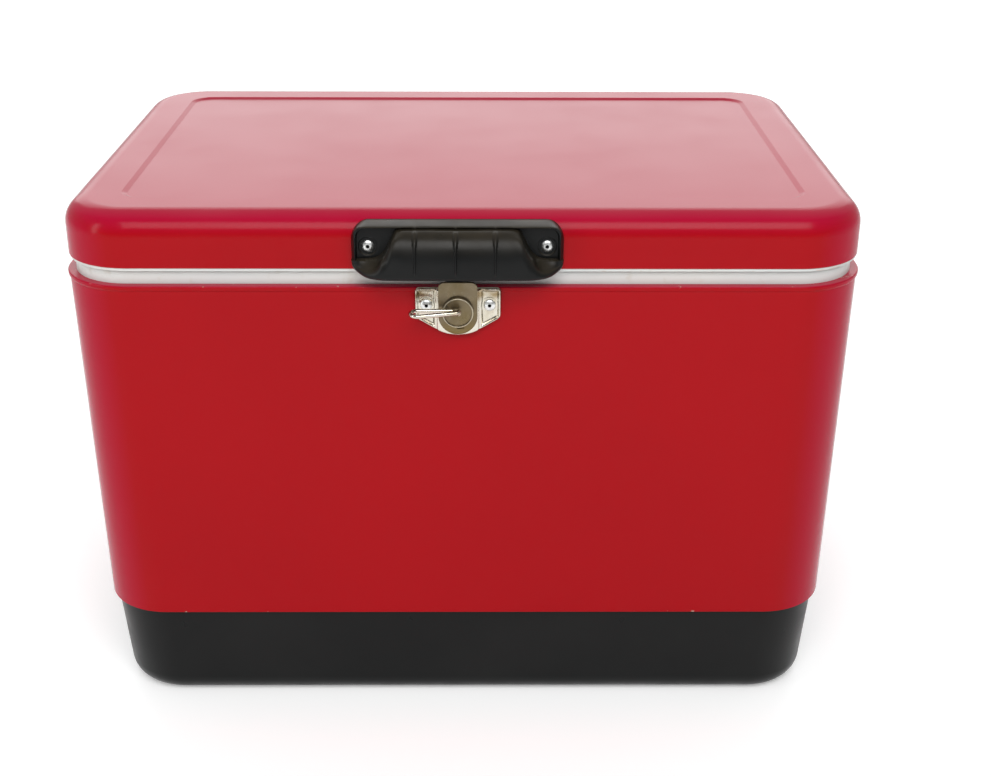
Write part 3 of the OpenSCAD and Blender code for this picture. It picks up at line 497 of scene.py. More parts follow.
zinc = new_material("zinc_plated_steel", (0.6, 0.6, 0.58), 0.36, metallic=1.0)
tinted(zinc, ranged(zinc, cells(zinc, 160), 0.1, 0.6, 0, 0.5), (0.42, 0.42, 0.41))
tinted(zinc, ranged(zinc, noise(zinc, 60, 5), 0.56, 0.72, 0, 0.6), (0.3, 0.25, 0.19))
dulled(zinc, ranged(zinc, noise(zinc, 80, 4), 0.3, 0.7, 0.28, 0.5))
raised(zinc, noise(zinc, 900, 2), 0.00005, 0.4)
coated(["drain_spout"], black_plastic)
coated(["drain_nut"], white_plastic)

# ---------- lid shell ----------
# One pressing of the same enamelled steel. The skirt turns into the top over a round edge, and a
# shallow panel is pressed into the top to stiffen it.

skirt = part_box("lid_shell")
lid_x = skirt[1].x
lid_y = skirt[1].y
lid_top = skirt[1].z
skirt_z = skirt[0].z
lid_corner = 0.054
edge_r = 0.0184
panel_in = 0.042
panel_corner = 0.02


def lid_ring(inset, z):
    own_corner = max(lid_corner - inset, panel_corner + max(panel_in - inset, 0) * 0.2)
    if inset >= panel_in:
        own_corner = panel_corner - (inset - panel_in)
    return outline(lid_x - inset, lid_y - inset, own_corner, z, steps=22)


lid_profile = rounded([
    (panel_in + 0.012, lid_top - 0.0021, 0), (panel_in + 0.0045, lid_top - 0.0021, 0),
    (panel_in - 0.001, lid_top - 0.0006, 0), (sheet, lid_top - 0.0006, edge_r - sheet),
    (sheet, skirt_z, 0), (0, skirt_z, 0.00025), (0, lid_top, edge_r),
    (panel_in, lid_top, 0.0016), (panel_in + 0.004, lid_top - 0.0015, 0.0016),
    (panel_in + 0.012, lid_top - 0.0015, 0)], steps=10)
lid = skin("lid_pressing", [lid_ring(inset, z) for inset, z in lid_profile])
fit(lid, red_enamel, "lid", "red_paint", "lid_shell")

# ---------- lid liner ----------
# The white pan snapped into the lid's underside. A shallow plug drops into the tub, and a groove
# round it holds the seal.

pan_low, pan_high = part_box("lid_liner")
pan_x = pan_high.x
pan_y = pan_high.y
pan_corner = 0.0532
plug_in = pan_x - (belt_x - 0.0485)
seal_in = pan_x - (belt_x - 0.0257)
seal_half = 0.0026


def pan_ring(inset, z):
    corner = pan_corner - inset * (pan_corner - 0.0295) / plug_in
    if inset > plug_in:
        corner = 0.0295 - (inset - plug_in)
    return outline(pan_x - inset, pan_y - inset, corner, z, steps=20)


pan_profile = rounded([
    (plug_in + 0.022, pan_low.z, 0), (plug_in, pan_low.z, 0.004), (plug_in, lip_z, 0.002),
    (seal_in + seal_half, lip_z, 0.0005), (seal_in + seal_half, lip_z + 0.0019, 0),
    (seal_in - seal_half, lip_z + 0.0019, 0), (seal_in - seal_half, lip_z, 0.0005),
    (0, lip_z, 0.0009), (0, pan_high.z, 0.0004), (0.0025, pan_high.z, 0),
    (0.0025, lip_z + 0.0036, 0), (plug_in + 0.004, lip_z + 0.0036, 0),
    (plug_in + 0.004, pan_low.z + 0.003, 0), (plug_in + 0.022, pan_low.z + 0.003, 0)], steps=6)
pan = skin("lid_pan", [pan_ring(inset, z) for inset, z in pan_profile])
fit(pan, white_plastic, "lid", "white_moulding", "lid_liner")

# ---------- lid seal ----------
# A soft grey rubber bulb pressed into the pan's groove, which meets the tub's rim all the way round.

rubber = new_material("grey_rubber", (0.05, 0.05, 0.052), 0.62, specular=0.3)
tinted(rubber, ranged(rubber, noise(rubber, 45, 5), 0.45, 0.72, 0, 0.5), (0.11, 0.105, 0.1))
raised(rubber, noise(rubber, 1300, 2), 0.00008, 0.5)

# the drain plug is of the same rubber
coated(["drain_plug"], rubber)

seal_low, seal_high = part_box("lid_seal")
seal_w = 0.005
seal_line = rounded([
    (-seal_w / 2, seal_high.z, 0), (-seal_w / 2, seal_low.z, 0.001), (seal_w / 2, seal_low.z, 0.001),
    (seal_w / 2, seal_high.z, 0)], steps=4)
seal_line.reverse()
seal = grown("seal_bulb", profile_loop("seal_line", seal_line), round_sweep, {
    "Width": 2 * seal_high.x - seal_w, "Depth": 2 * seal_high.y - seal_w, "Corner": 0.0351,
    "Bend steps": 24, "Top": seal_high.z, "Taper": 0.0, "Finish": rubber})
fit(seal, rubber, "lid", "seal_rubber", "lid_seal")

# ---------- lid handle ----------
# One black moulding riveted through the lid's front: a top band that follows the lid's edge, two
# sunk pockets for the rivets, and a hollow grip with three thin ribs for the fingers behind it.

front_x = -0.004


def smooth(low, high, value):
    """0 below low, 1 above high, and a soft step between."""
    part = min(max((value - low) / (high - low), 0), 1)
    return part * part * (3 - 2 * part)


def curve_at(points, value):
    """A smooth curve through (value, result) points."""
    last = len(points) - 1
    slopes = []
    for k in range(last + 1):
        before, after = points[max(k - 1, 0)], points[min(k + 1, last)]
        slopes.append((after[1] - before[1]) / (after[0] - before[0]))
    for k in range(last):
        run = points[k + 1][0] - points[k][0]
        if value <= points[k + 1][0]:
            t = max(value - points[k][0], 0) / run
            rise = points[k + 1][1] - points[k][1]
            bend = (1 - t) * t * ((1 - t) * (slopes[k] * run - rise) - t * (slopes[k + 1] * run - rise))
            return points[k][1] + rise * t + bend
    return points[-1][1]


def relief(name, half, columns, rows, low, high, front, back, sharp):
    """A solid standing off the chest's front: low(x) and high(x) bound it, front and back give its
    distances out at (x, z), and its columns are closer together near both ends."""
    grid = []
    for i in range(columns + 1):
        part = 2 * i / columns - 1
        x = math.copysign(half * (1 - (1 - abs(part)) ** 1.2), part)
        bottom, top = low(abs(x)), high(abs(x))
        for j in range(rows + 1):
            grid.append((x, bottom + (top - bottom) * j / rows))
    faces_out = [(front_x + x, -front(x, z), z) for x, z in grid]
    faces_in = [(front_x + x, -back(x, z), z) for x, z in grid]
    count = len(grid)
    tall = rows + 1
    faces = []
    for i in range(columns):
        for j in range(rows):
            a = i * tall + j
            faces.append([a, a + tall, a + tall + 1, a + 1])
            faces.append([count + a, count + a + 1, count + a + tall + 1, count + a + tall])
    rim = [i * tall for i in range(columns)]
    rim += [columns * tall + j for j in range(rows)]
    rim += [i * tall + rows for i in range(columns, 0, -1)]
    rim += [j for j in range(rows, 0, -1)]
    for a, b in zip(rim, rim[1:] + rim[:1]):
        faces.append([b, a, count + a, count + b])
    mesh = bpy.data.meshes.new(name)
    mesh.from_pydata(faces_out + faces_in, [], faces)
    return as_piece(name, mesh, sharp)


handle_low, handle_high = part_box("lid_handle")
handle_half = (handle_high.x - handle_low.x) / 2
grip_low = handle_low.z
band_z = lid_top - 0.0073
shoulder = [(0, 0.0335), (0.0380, 0.0335), (0.0425, 0.0330), (0.0460, 0.0312), (0.0496, 0.0244),
            (0.0529, 0.0173), (0.0572, 0.0125), (0.0615, 0.0103), (0.0700, 0.0096), (0.0783, 0.0096)]
ridge = [(0, 0.0310), (0.0400, 0.0310), (0.0467, 0.0285), (0.0500, 0.0245), (0.0556, 0.0131),
         (0.0588, 0.0078), (0.0626, 0.0048), (0.0680, 0.0040), (0.0734, 0.0052), (0.0783, 0.0078)]
ridge_out = [(0, 0.0178), (0.0460, 0.0182), (0.0556, 0.0190), (0.0626, 0.0180), (0.0680, 0.0150),
             (0.0734, 0.0108), (0.0783, 0.0072)]
far_out = [(0, 0.0250), (0.0470, 0.0250), (0.0560, 0.0240), (0.0626, 0.0214), (0.0680, 0.0178),
           (0.0734, 0.0124), (0.0783, 0.0078)]
ribs = (-0.0309, -0.0012, 0.0278)
rivet_out = 0.06615
rivet_z = skirt_z + 0.0190


def handle_bottom(x):
    across = min(max((x - 0.063) / (handle_half - 0.063), 0), 1)
    return grip_low + 0.0080 * (1 - math.sqrt(1 - across ** 2))


def fallen(x, half, corner):
    """How far a round corner of that radius has dropped at x, on an outline that ends at half."""
    across = min(max((x - half + corner) / corner, 0), 1)
    return corner * (1 - math.sqrt(1 - across ** 2))


def handle_top(x):
    return lid_top - 0.0050 - fallen(x, handle_half, 0.0125)


def lid_out(z):
    """How far out from the middle the lid's front is at that height."""
    rise = min(max(z - (lid_top - edge_r), 0), edge_r - 0.0002)
    return lid_y - edge_r + math.sqrt(edge_r ** 2 - rise ** 2)


def handle_front(x, z):
    side = abs(x)
    top = handle_top(side)
    bottom = handle_bottom(side)
    rim = 0.0098 - 0.0055 * smooth(handle_half - 0.004, handle_half, side) ** 2
    corner = math.hypot(max(side - handle_half + 0.0135, 0), max(z - band_z + 0.0095, 0))
    pocket = smooth(handle_half - 0.0026, handle_half - 0.0042, side) * smooth(0.0108, 0.0094, corner)
    pocket *= smooth(band_z, band_z - 0.0012, z)
    out = rim + (0.0042 - rim) * pocket
    out += (0.003 - out) * smooth(0.0072, 0.0066, math.hypot(side - rivet_out, z - rivet_z))
    start = skirt_z + curve_at(shoulder, side)
    crease = min(skirt_z + curve_at(ridge, side), start - 0.0008)
    rise = 0.0098
    near = curve_at(ridge_out, side)
    far = curve_at(far_out, side)
    grip = 0
    if z < start:
        reach = max(z - skirt_z - 0.0085, 0) / max(start - skirt_z - 0.0085, 0.001)
        grip = rise + (far - rise) * math.sqrt(max(1 - reach ** 2.3, 0))
        if z > crease:
            edged = rise + (near - rise) * ((start - z) / (start - crease)) ** 1.15
        else:
            fall = min((crease - z) / max(min(0.7 * (crease - bottom), 0.0145), 0.001), 1)
            edged = near + (far - near) * math.sqrt(1 - (1 - fall) ** 2)
        grip += (edged - grip) * smooth(0.0370, 0.0520, side)
        grip -= 0.0012 * smooth(bottom + 0.0025, bottom, z) ** 2
    if side < 0.045:
        out -= 0.0012 * smooth(0.0009, 0, abs(z - start - 0.0008)) * smooth(0.045, 0.041, side)
    out = max(out, grip)
    for rib in ribs:
        wide = 0.0011 + 0.0009 * smooth(start - 0.0120, start - 0.0040, z)
        wide *= 0.15 + 0.85 * smooth(start + 0.0036, start - 0.0012, z)
        swell = max(1 - ((x - rib) / wide) ** 2, 0) ** 0.8
        tall = 0.0021 * smooth(bottom + 0.0025, bottom + 0.008, z) * smooth(start + 0.0040, start, z)
        out += tall * swell
    if z > band_z:
        out = min(out, 0.0100 - 0.0125 * smooth(band_z, top + 0.0006, z) ** 1.2)
    edge = min(top - z, handle_half - side)
    out -= 0.0012 * smooth(0.0010, 0, edge) ** 2
    return lid_y + max(out, lid_out(z) - lid_y + 0.0006)


def handle_back(x, z):
    side = abs(x)
    out = lid_out(z) + 0.0001
    hollow = smooth(0.0515, 0.0485, side) * smooth(skirt_z + 0.018, skirt_z + 0.015, z)
    wall = handle_front(x, z) - 0.0035
    return out + max(wall - out, 0) * hollow


handle = relief("moulded_lid_handle", handle_half, 380, 110, handle_bottom, handle_top,
                handle_front, handle_back, 70)
fit(handle, black_plastic, "lid", "black_moulding", "lid_handle")

# ---------- latch plate ----------
# Nickel-plated steel, pressed so that its wings are dished round the rivets and its edges roll
# back. A raised channel down the middle makes room for the strike and carries a dull cover.

nickel = new_material("bright_nickel_plate", (0.60, 0.57, 0.49), 0.22, metallic=1.0)
tinted(nickel, ranged(nickel, noise(nickel, 60, 3), 0.5, 0.72, 0, 0.5), (0.36, 0.28, 0.15))
tinted(nickel, ranged(nickel, noise(nickel, 300, 3), 0.64, 0.74, 0, 0.3), (0.16, 0.12, 0.08))
dulled(nickel, ranged(nickel, noise(nickel, 90, 3), 0.35, 0.7, 0.13, 0.28))
raised(nickel, noise(nickel, 160, 1), 0.00005, 0.15)

dull_nickel = new_material("dull_nickel_plate", (0.17, 0.135, 0.085), 0.42, metallic=0.85)
tinted(dull_nickel, ranged(dull_nickel, noise(dull_nickel, 70, 5), 0.42, 0.7, 0, 0.6),
       (0.13, 0.095, 0.035))
tinted(dull_nickel, ranged(dull_nickel, noise(dull_nickel, 350, 3), 0.6, 0.75, 0, 0.5),
       (0.26, 0.23, 0.17))
dulled(dull_nickel, ranged(dull_nickel, noise(dull_nickel, 120, 4), 0.3, 0.7, 0.24, 0.42))
raised(dull_nickel, noise(dull_nickel, 500, 3), 0.0001, 0.4)

plate_low, plate_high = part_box("latch_plate")
# The plate's top part turns browner, in patches.
browner_top = maths(nickel, "MULTIPLY",
                ranged(nickel, height_of(nickel, "Z"), plate_high.z - 0.011, plate_high.z - 0.006),
                ranged(nickel, noise(nickel, 110, 3), 0.38, 0.6, 0.1, 0.85))
tinted(nickel, browner_top, (0.22, 0.15, 0.06))
cover_low, cover_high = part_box("latch_cover")
# The cover turns darker gold towards its round bottom: painted shading of the light.
tinted(dull_nickel, ranged(dull_nickel, height_of(dull_nickel, "Z"), cover_low.z + 0.012, cover_low.z,
                           0, 0.7), (0.16, 0.105, 0.02))
# The disc's raised rim and centre get a pale tint: rubbed wear and a painted highlight.
worn = dull_nickel.node_tree.nodes.new("ShaderNodeAttribute")
worn.attribute_name = "worn"
tinted(dull_nickel, worn.outputs["Fac"], (0.5, 0.45, 0.34))
plate_half = (plate_high.x - plate_low.x) / 2
cover_half = (cover_high.x - cover_low.x) / 2
wing_out = 0.2129
channel_out = -plate_low.y
disc_low, disc_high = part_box("latch_disc")
disc_r = (disc_high.x - disc_low.x) / 2
latch_z = (disc_low.z + disc_high.z) / 2
latch_rivet_z = latch_z + 0.0036


def plate_top(x):
    return plate_high.z - fallen(x, plate_half, 0.0035)


def plate_bottom(x):
    sweep = curve_at([(0, 0), (0.0087, 0.0012), (0.0162, 0.0044), (0.0290, 0.0118), (0.0330, 0.0141)], x)
    return plate_low.z + sweep + fallen(x, plate_half, 0.004)


def plate_front(x, z):
    side = abs(x)
    edge = min(plate_half - side, plate_top(side) - z, (z - plate_bottom(side)) * 0.9)
    channel = cover_half + 0.0004
    inner = max(side - channel, 0)
    dish = wing_out - 0.0002
    out = dish + 0.0019 * smooth(0.0036, 0.0012, edge)
    out = max(out, dish + 0.0022 * smooth(0.0042, 0.0018, inner))
    out -= 0.0022 * smooth(0.0011, 0, edge) ** 1.5
    if side < channel + 0.0016:
        out = max(out, out + (channel_out - out) * smooth(channel + 0.0016, channel - 0.0006, side)
                  * smooth(0, 0.0016, edge))
    seat = smooth(0.0068, 0.0052, math.hypot(side - 0.0237, z - latch_rivet_z))
    out += (wing_out - out) * seat
    return out


def plate_back(x, z):
    return max(plate_front(x, z) - 0.0008, belt_y + 0.0001 + (0.0011 if z > belt_high.z - 0.0045 else 0))


plate = relief("pressed_latch_plate", plate_half, 150, 70, plate_bottom, plate_top,
               plate_front, plate_back, 60)
fit(plate, nickel, "chest", "nickel_plate", "latch_plate")


def cover_bottom(x):
    return cover_low.z + fallen(x, cover_half, cover_half)


def cover_top(x):
    return cover_high.z - fallen(x, cover_half, 0.005)


def cover_front(x, z):
    side = abs(x)
    edge = min(cover_half - side, cover_top(side) - z)
    if z < cover_low.z + cover_half:
        edge = cover_half - math.hypot(side, z - cover_low.z - cover_half)
    slot = smooth(-0.0008, -0.0004, x) * smooth(0.0047, 0.0043, x)
    slot *= smooth(latch_z - 0.0137, latch_z - 0.0134, z) * smooth(latch_z - 0.0123, latch_z - 0.0126, z)
    return -cover_low.y - 0.0005 * smooth(0.0008, 0, edge) ** 2 - 0.0007 * slot


def cover_back(x, z):
    return -cover_high.y


cover = relief("latch_cover_plate", cover_half, 110, 130, cover_bottom, cover_top,
               cover_front, cover_back, 50)
fit(cover, dull_nickel, "chest", "dull_nickel", "latch_cover")

# ---------- turning latch ----------
# A disc on a riveted spindle turns a flat cam behind the plate. A wave washer keeps it from
# rattling, and a bright wire bail hinges on a pin between two ears on the disc.



def lathe(name, line, around=48):
    """A solid turned about Z from a line of (out, up) points that starts and ends on the axis."""
    points = [(0, 0, line[0][1])]
    for out, up in line[1:-1]:
        for i in range(around):
            angle = 2 * math.pi * i / around
            points.append((out * math.cos(angle), out * math.sin(angle), up))
    points.append((0, 0, line[-1][1]))
    faces = [[0, 1 + (i + 1) % around, 1 + i] for i in range(around)]
    for k in range(len(line) - 3):
        for i in range(around):
            j = (i + 1) % around
            low = 1 + k * around
            faces.append([low + i, low + j, low + around + j, low + around + i])
    top = 1 + (len(line) - 3) * around
    faces += [[top + i, top + (i + 1) % around, len(points) - 1] for i in range(around)]
    mesh = bpy.data.meshes.new(name)
    mesh.from_pydata(points, [], faces)
    return mesh


def one_piece(name, pieces):
    """Several pieces made into one."""
    work = bmesh.new()
    for piece in pieces:
        work.from_mesh(piece.data)
        bpy.data.objects.remove(piece)
    mesh = bpy.data.meshes.new(name)
    work.to_mesh(mesh)
    work.free()
    return as_piece(name, mesh)


disc_t = 0.0028
disc_line = [(0, 0), (disc_r - 0.0003, 0), (disc_r, 0.0003), (disc_r, disc_t - 0.0001),
             (disc_r - 0.0002, disc_t + 0.0004), (disc_r - 0.0007, disc_t + 0.0006),
             (disc_r - 0.0012, disc_t + 0.0004), (disc_r - 0.0015, disc_t - 0.0002),
             (disc_r - 0.0028, disc_t - 0.0004), (0.0048, disc_t - 0.0002), (0.0026, disc_t),
             (0.0024, disc_t + 0.0004), (0.0014, disc_t + 0.0007), (0, disc_t + 0.0008)]
disc_mesh = lathe("disc", disc_line, 72)
# Marks the raised rim and centre for the pale tint: rubbed wear and a painted highlight.
rubbed_and_highlit = disc_mesh.attributes.new("worn", "FLOAT", "POINT")
for value, vert in zip(rubbed_and_highlit.data, disc_mesh.vertices):
    out = vert.co.xy.length
    value.value = 0.8 if vert.co.z > disc_t and (out > disc_r - 0.0008 or 0.001 < out < 0.0025) else 0.0
stood_up = Matrix.Rotation(math.pi / 2, 4, "X")
disc_mesh.transform(Matrix.Translation((front_x, disc_high.y, latch_z)) @ stood_up)
disc_parts = [as_piece("disc", disc_mesh)]
pin_low, pin_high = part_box("bail_pin")
pin = (pin_low + pin_high) / 2
ear_r = 0.0022
ear_t = 0.0013
ear_gap = 0.0018
for low in (pin.z - ear_gap - ear_t, pin.z + ear_gap):
    rings = []
    for inset, rise in ((0.0002, 0), (0, 0.0002), (0, ear_t - 0.0002), (0.0002, ear_t)):
        ring = [(pin.x + (ear_r - inset) * math.cos(math.pi * (1 + step / 12)),
                 pin.y + (ear_r - inset) * math.sin(math.pi * (1 + step / 12)), low + rise)
                for step in range(13)]
        ring += [(pin.x + ear_r - inset, disc_high.y - disc_t + 0.0006, low + rise),
                 (pin.x - ear_r + inset, disc_high.y - disc_t + 0.0006, low + rise)]
        rings.append(ring)
    disc_parts.append(skin("ear", rings))
disc = one_piece("turning_disc", disc_parts)
fit(disc, dull_nickel, "latch_turn", "dull_nickel", "latch_disc")
coated(["latch_spindle", "latch_cam", "bail_pin"], dull_nickel)
coated(["latch_bail"], nickel)
coated(["spring_washer"], zinc)

# ---------- strike ----------
# A zinc-plated tongue riveted under the lid handle, with a keyhole that the cam turns behind.

coated(["latch_strike"], zinc)

# ---------- hinges ----------
# Two zinc-plated butt hinges across the back, one leaf on the belt and one on the lid.

coated(["hinge_body_leaf_left", "hinge_body_leaf_right", "hinge_lid_leaf_left",
        "hinge_lid_leaf_right", "hinge_pin_left", "hinge_pin_right"], zinc)

# ---------- side handles ----------
# A nickel-plated rod bail at each end, swinging in two riveted brackets, with a ribbed black grip.

coated(["bracket_left_front", "bracket_left_back", "bracket_right_front", "bracket_right_back"],
       zinc)
coated(["side_bail_left", "side_bail_right"], nickel)


def grip_tree():
    """A round bar along Y whose radius swells and narrows in even rings, with rounded ends."""
    tree, given, result = geometry_tree("ribbed_grip", [
        ("Length", "Float"), ("Radius", "Float"), ("Rings", "Float"), ("Depth", "Float"),
        ("Finish", "Material")])
    nodes = tree.nodes
    link = tree.links.new

    def sum_of(operation, first, second):
        return maths_in(tree, operation, first, second)

    start = nodes.new("ShaderNodeCombineXYZ")
    end = nodes.new("ShaderNodeCombineXYZ")
    link(sum_of("MULTIPLY", given.outputs["Length"], -0.5), start.inputs["Y"])
    link(sum_of("MULTIPLY", given.outputs["Length"], 0.5), end.inputs["Y"])
    bar = nodes.new("GeometryNodeCurvePrimitiveLine")
    link(start.outputs["Vector"], bar.inputs["Start"])
    link(end.outputs["Vector"], bar.inputs["End"])
    fine = nodes.new("GeometryNodeResampleCurve")
    fine.inputs["Count"].default_value = 226
    link(bar.outputs["Curve"], fine.inputs["Curve"])
    part = nodes.new("GeometryNodeSplineParameter").outputs["Factor"]
    turns = sum_of("MULTIPLY", sum_of("MULTIPLY", part, given.outputs["Rings"]), 2 * math.pi)
    wave = sum_of("MULTIPLY", sum_of("COSINE", turns, 0.0), -2.2)
    ring = sum_of("MINIMUM", sum_of("MAXIMUM", wave, -1.0), 1.0)
    swell = sum_of("MULTIPLY", sum_of("SUBTRACT", ring, 1.0), given.outputs["Depth"])
    to_end = sum_of("MINIMUM", part, sum_of("SUBTRACT", 1.0, part))
    near = sum_of("MINIMUM", sum_of("MULTIPLY", to_end, 40.0), 1.0)
    gap = sum_of("SUBTRACT", 1.0, near)
    round_end = sum_of("SQRT", sum_of("SUBTRACT", 1.0, sum_of("MULTIPLY", gap, gap)), 0.0)
    shrink = sum_of("MULTIPLY", sum_of("SUBTRACT", round_end, 1.0), 0.0026)
    radius = sum_of("ADD", sum_of("ADD", given.outputs["Radius"], swell), shrink)
    hoop = nodes.new("GeometryNodeCurvePrimitiveCircle")
    hoop.inputs["Resolution"].default_value = 48
    hoop.inputs["Radius"].default_value = 1.0
    sweep = nodes.new("GeometryNodeCurveToMesh")
    sweep.inputs["Fill Caps"].default_value = True
    link(fine.outputs["Curve"], sweep.inputs["Curve"])
    link(hoop.outputs["Curve"], sweep.inputs["Profile Curve"])
    link(radius, sweep.inputs["Scale"])
    both = nodes.new("GeometryNodeJoinGeometry")
    link(given.outputs["Geometry"], both.inputs["Geometry"])
    link(sweep.outputs["Mesh"], both.inputs["Geometry"])
    return finished_tree(tree, given, result, both.outputs["Geometry"])


ribbed = grip_tree()
for side in ("left", "right"):
    grip_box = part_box("side_grip_" + side)
    middle = (grip_box[0] + grip_box[1]) / 2
    size = grip_box[1] - grip_box[0]
    grip = grown("ribbed_grip_" + side, bpy.data.meshes.new("grip_host"), ribbed, {
        "Length": size.y, "Radius": size.z / 2, "Rings": 9.0, "Depth": 0.0006,
        "Finish": black_plastic})
    grip.data.transform(Matrix.Translation(middle))
    fit(grip, black_plastic, "side_handle_" + side, "black_moulding", "side_grip_" + side)

# ---------- rivets ----------
# Aluminium blind rivets hold every fitting on: a low dome with the hole where its pin snapped, painted
# dark as shade.

aluminium = new_material("satin_aluminium", (0.72, 0.73, 0.72), 0.3, metallic=1.0)
tinted(aluminium, ranged(aluminium, noise(aluminium, 500, 4), 0.5, 0.7, 0, 0.5), (0.4, 0.4, 0.39))
dulled(aluminium, ranged(aluminium, noise(aluminium, 700, 4), 0.3, 0.7, 0.24, 0.44))
raised(aluminium, noise(aluminium, 900, 2), 0.00006, 0.4)
# The hole and the broken pin down it are painted near-black: painted shade in the hole, over the pin's
# darker steel.
hole_painted_shade = aluminium.node_tree.nodes.new("ShaderNodeAttribute")
hole_painted_shade.attribute_name = "hole"
tinted(aluminium, hole_painted_shade.outputs["Fac"], (0.012, 0.012, 0.012))

rivet_r = 0.00475
rivet_h = 0.0022


def rivet_mesh(name):
    """A rivet head on the floor, its dome up: an arch, a rolled hole edge and the broken pin."""
    line = [(0.0, -0.004), (0.0023, -0.004), (0.0023, -0.0001), (rivet_r - 0.0002, -0.0001),
            (rivet_r, 0.0001)]
    for step in range(1, 13):
        angle = math.radians(6.0 * step)
        line.append((rivet_r * math.cos(angle), 0.0001 + (rivet_h - 0.0001) * math.sin(angle)))
    line += [(0.00135, rivet_h - 0.00005), (0.0012, rivet_h - 0.0003), (0.0012, rivet_h - 0.0018),
             (0.0005, rivet_h - 0.0014), (0.0, rivet_h - 0.0014)]
    mesh = lathe(name, line, 40)
    # Marks the hole and pin for the painted shade.
    hole = mesh.attributes.new("hole", "FLOAT", "POINT")
    for value, vert in zip(hole.data, mesh.vertices):
        value.value = 1.0 if vert.co.xy.length < 0.00122 and vert.co.z > 0 else 0.0
    return mesh


def rivet_tree():
    """Sets a copy of the rivet on each of the host's points, turned to face along the point's way."""
    tree, given, result = geometry_tree("set_rivets", [("Rivet", "Object"), ("Finish", "Material")])
    nodes = tree.nodes
    link = tree.links.new
    way = nodes.new("GeometryNodeInputNamedAttribute")
    way.data_type = "FLOAT_VECTOR"
    way.inputs["Name"].default_value = "way"
    turn = nodes.new("FunctionNodeAlignRotationToVector")
    turn.axis = "Z"
    link(way.outputs["Attribute"], turn.inputs["Vector"])
    source = nodes.new("GeometryNodeObjectInfo")
    link(given.outputs["Rivet"], source.inputs["Object"])
    copies = nodes.new("GeometryNodeInstanceOnPoints")
    link(given.outputs["Geometry"], copies.inputs["Points"])
    link(source.outputs["Geometry"], copies.inputs["Instance"])
    link(turn.outputs["Rotation"], copies.inputs["Rotation"])
    return finished_tree(tree, given, result, copies.outputs["Instances"])


def heads_of(node, way):
    """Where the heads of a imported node's rivets sit: one for each loose part of its mesh."""
    work = bmesh.new()
    work.from_mesh(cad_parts[node].data)
    bmesh.ops.remove_doubles(work, verts=work.verts, dist=1e-6)
    found = []
    waiting = set(work.verts)
    while waiting:
        edge_on = [waiting.pop()]
        part = list(edge_on)
        while edge_on:
            for edge in edge_on.pop().link_edges:
                for vert in edge.verts:
                    if vert in waiting:
                        waiting.remove(vert)
                        part.append(vert)
                        edge_on.append(vert)
        low = Vector([min(v.co[k] for v in part) for k in range(3)])
        high = Vector([max(v.co[k] for v in part) for k in range(3)])
        direction = Vector(way)
        if node == "bracket_rivets":
            direction = Vector((math.copysign(1, low.x), 0, 0))
        middle = (low + high) / 2
        reach = max(vert.co.dot(direction) for vert in part)
        found.append((middle + direction * (reach - middle.dot(direction) - rivet_h), direction))
    work.free()
    return found


setting = rivet_tree()
rivet = bpy.data.objects.new("rivet_pattern", rivet_mesh("rivet_pattern"))
bpy.context.scene.collection.objects.link(rivet)
for body, groups in (
        ("chest", {"latch_rivets": (0, -1, 0), "hinge_body_rivets": (0, 1, 0),
                   "bracket_rivets": (1, 0, 0)}),
        ("lid", {"handle_rivets": (0, -1, 0), "strike_rivets": (0, -1, 0),
                 "hinge_lid_rivets": (0, 1, 0)})):
    heads = [head for node, way in groups.items() for head in heads_of(node, way)]
    host = bpy.data.meshes.new(body + "_heads")
    host.from_pydata([place for place, way in heads], [], [])
    ways = host.attributes.new("way", "FLOAT_VECTOR", "POINT")
    for item, (place, way) in zip(ways.data, heads):
        item.vector = way
    rivets = grown(body + "_blind_rivets", host, setting, {"Rivet": rivet, "Finish": aluminium})
    fit(rivets, aluminium, body, "rivet_metal", *groups)
bpy.data.objects.remove(rivet)

# ---------- studio ----------
# A pale floor, a pale even surround, and large soft lights: one high behind for the lid's sheen,
# one over the front, and a weak strip at the left.

floor_mesh = bpy.data.meshes.new("studio_floor")
floor_mesh.from_pydata([(-6, -6, 0), (6, -6, 0), (6, 6, 0), (-6, 6, 0)], [], [[0, 1, 2, 3]])
floor = as_piece("studio_floor", floor_mesh)
pale = new_material("pale_floor", (0.9, 0.9, 0.9), 0.7, specular=0.1)
pale_shader = pale.node_tree.nodes["Principled BSDF"]
pale_shader.inputs["Emission Color"].default_value = (1, 1, 1, 1)
pale_shader.inputs["Emission Strength"].default_value = 0.24
floor.data.materials.append(pale)

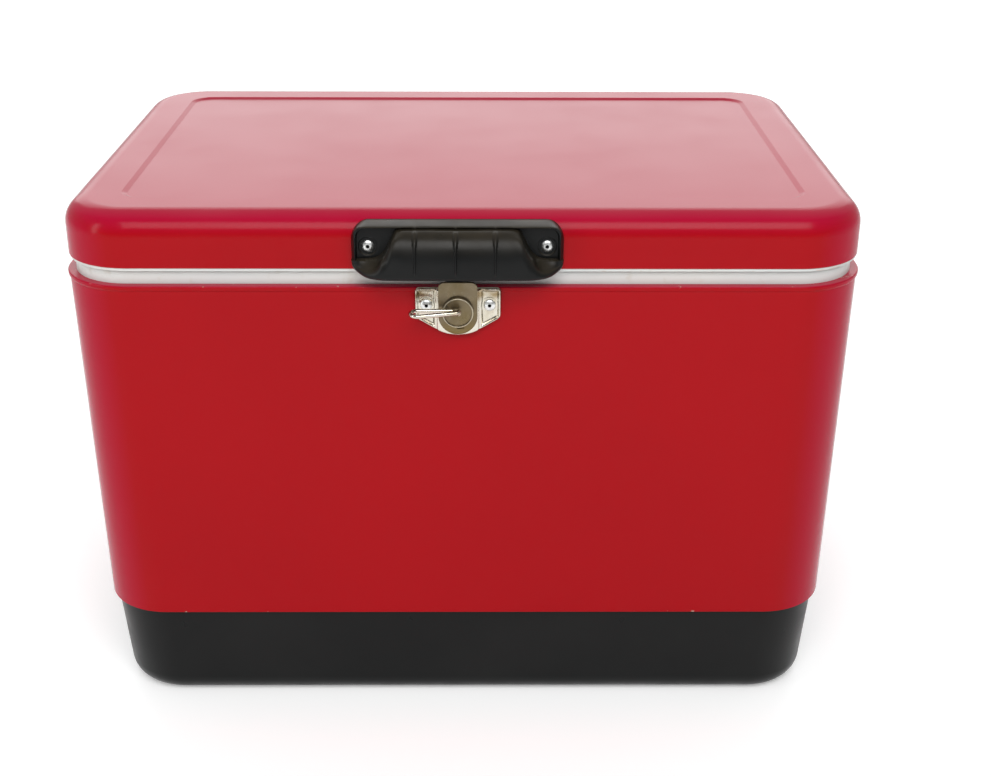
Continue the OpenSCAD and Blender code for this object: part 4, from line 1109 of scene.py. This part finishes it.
world = bpy.data.worlds.new("studio")
world.use_nodes = True
backdrop = world.node_tree.nodes["Background"]
sky = world.node_tree.nodes.new("ShaderNodeTexCoord")
compass = world.node_tree.nodes.new("ShaderNodeSeparateXYZ")
world.node_tree.links.new(sky.outputs["Generated"], compass.inputs["Vector"])
shade = world.node_tree.nodes.new("ShaderNodeMapRange")
shade.inputs["From Min"].default_value = -0.9
shade.inputs["From Max"].default_value = 0.5
shade.inputs["To Min"].default_value = 0.22
shade.inputs["To Max"].default_value = 0.62
world.node_tree.links.new(compass.outputs["Y"], shade.inputs["Value"])
world.node_tree.links.new(shade.outputs["Result"], backdrop.inputs["Strength"])
backdrop.inputs["Color"].default_value = (1, 1, 1, 1)
bpy.context.scene.world = world


def soft_light(name, place, aim, size, power):
    lamp = bpy.data.lights.new(name, "AREA")
    lamp.shape = "RECTANGLE"
    lamp.size, lamp.size_y = size
    lamp.energy = power
    holder = bpy.data.objects.new(name, lamp)
    holder.location = place
    holder.rotation_euler = (Vector(aim) - Vector(place)).to_track_quat("-Z", "Y").to_euler()
    bpy.context.scene.collection.objects.link(holder)


soft_light("back_softbox", (0, 3.2, 1.9), (0, 0, 0.4), (5.0, 2.6), 68)
soft_light("front_softbox", (0.2, -2.2, 2.3), (0, 0, 0.2), (2.4, 1.4), 68)
soft_light("left_strip", (-2.6, -1.5, 1.1), (0, 0, 0.35), (0.4, 1.8), 16)

camera_data = bpy.data.cameras.new("camera")
camera_data.lens = 54.01
camera_data.sensor_width = 36
camera_data.dof.use_dof = False
camera_data.clip_start = 0.01
camera = bpy.data.objects.new("camera", camera_data)
pitch, yaw, roll = 0.4179, 0.0086, 0.0038
ahead = Vector((math.sin(yaw) * math.cos(pitch), math.cos(yaw) * math.cos(pitch), -math.sin(pitch)))
level = Vector((math.cos(yaw), -math.sin(yaw), 0))
above = level.cross(ahead)
right = level * math.cos(roll) + above * math.sin(roll)
upright = above * math.cos(roll) - level * math.sin(roll)
camera.matrix_world = Matrix.Translation((0.0154, -1.2575, 0.7577)) @ Matrix(
    (right, upright, -ahead)).transposed().to_4x4()
bpy.context.scene.collection.objects.link(camera)
bpy.context.scene.camera = camera
bpy.context.scene.view_settings.view_transform = "Standard"
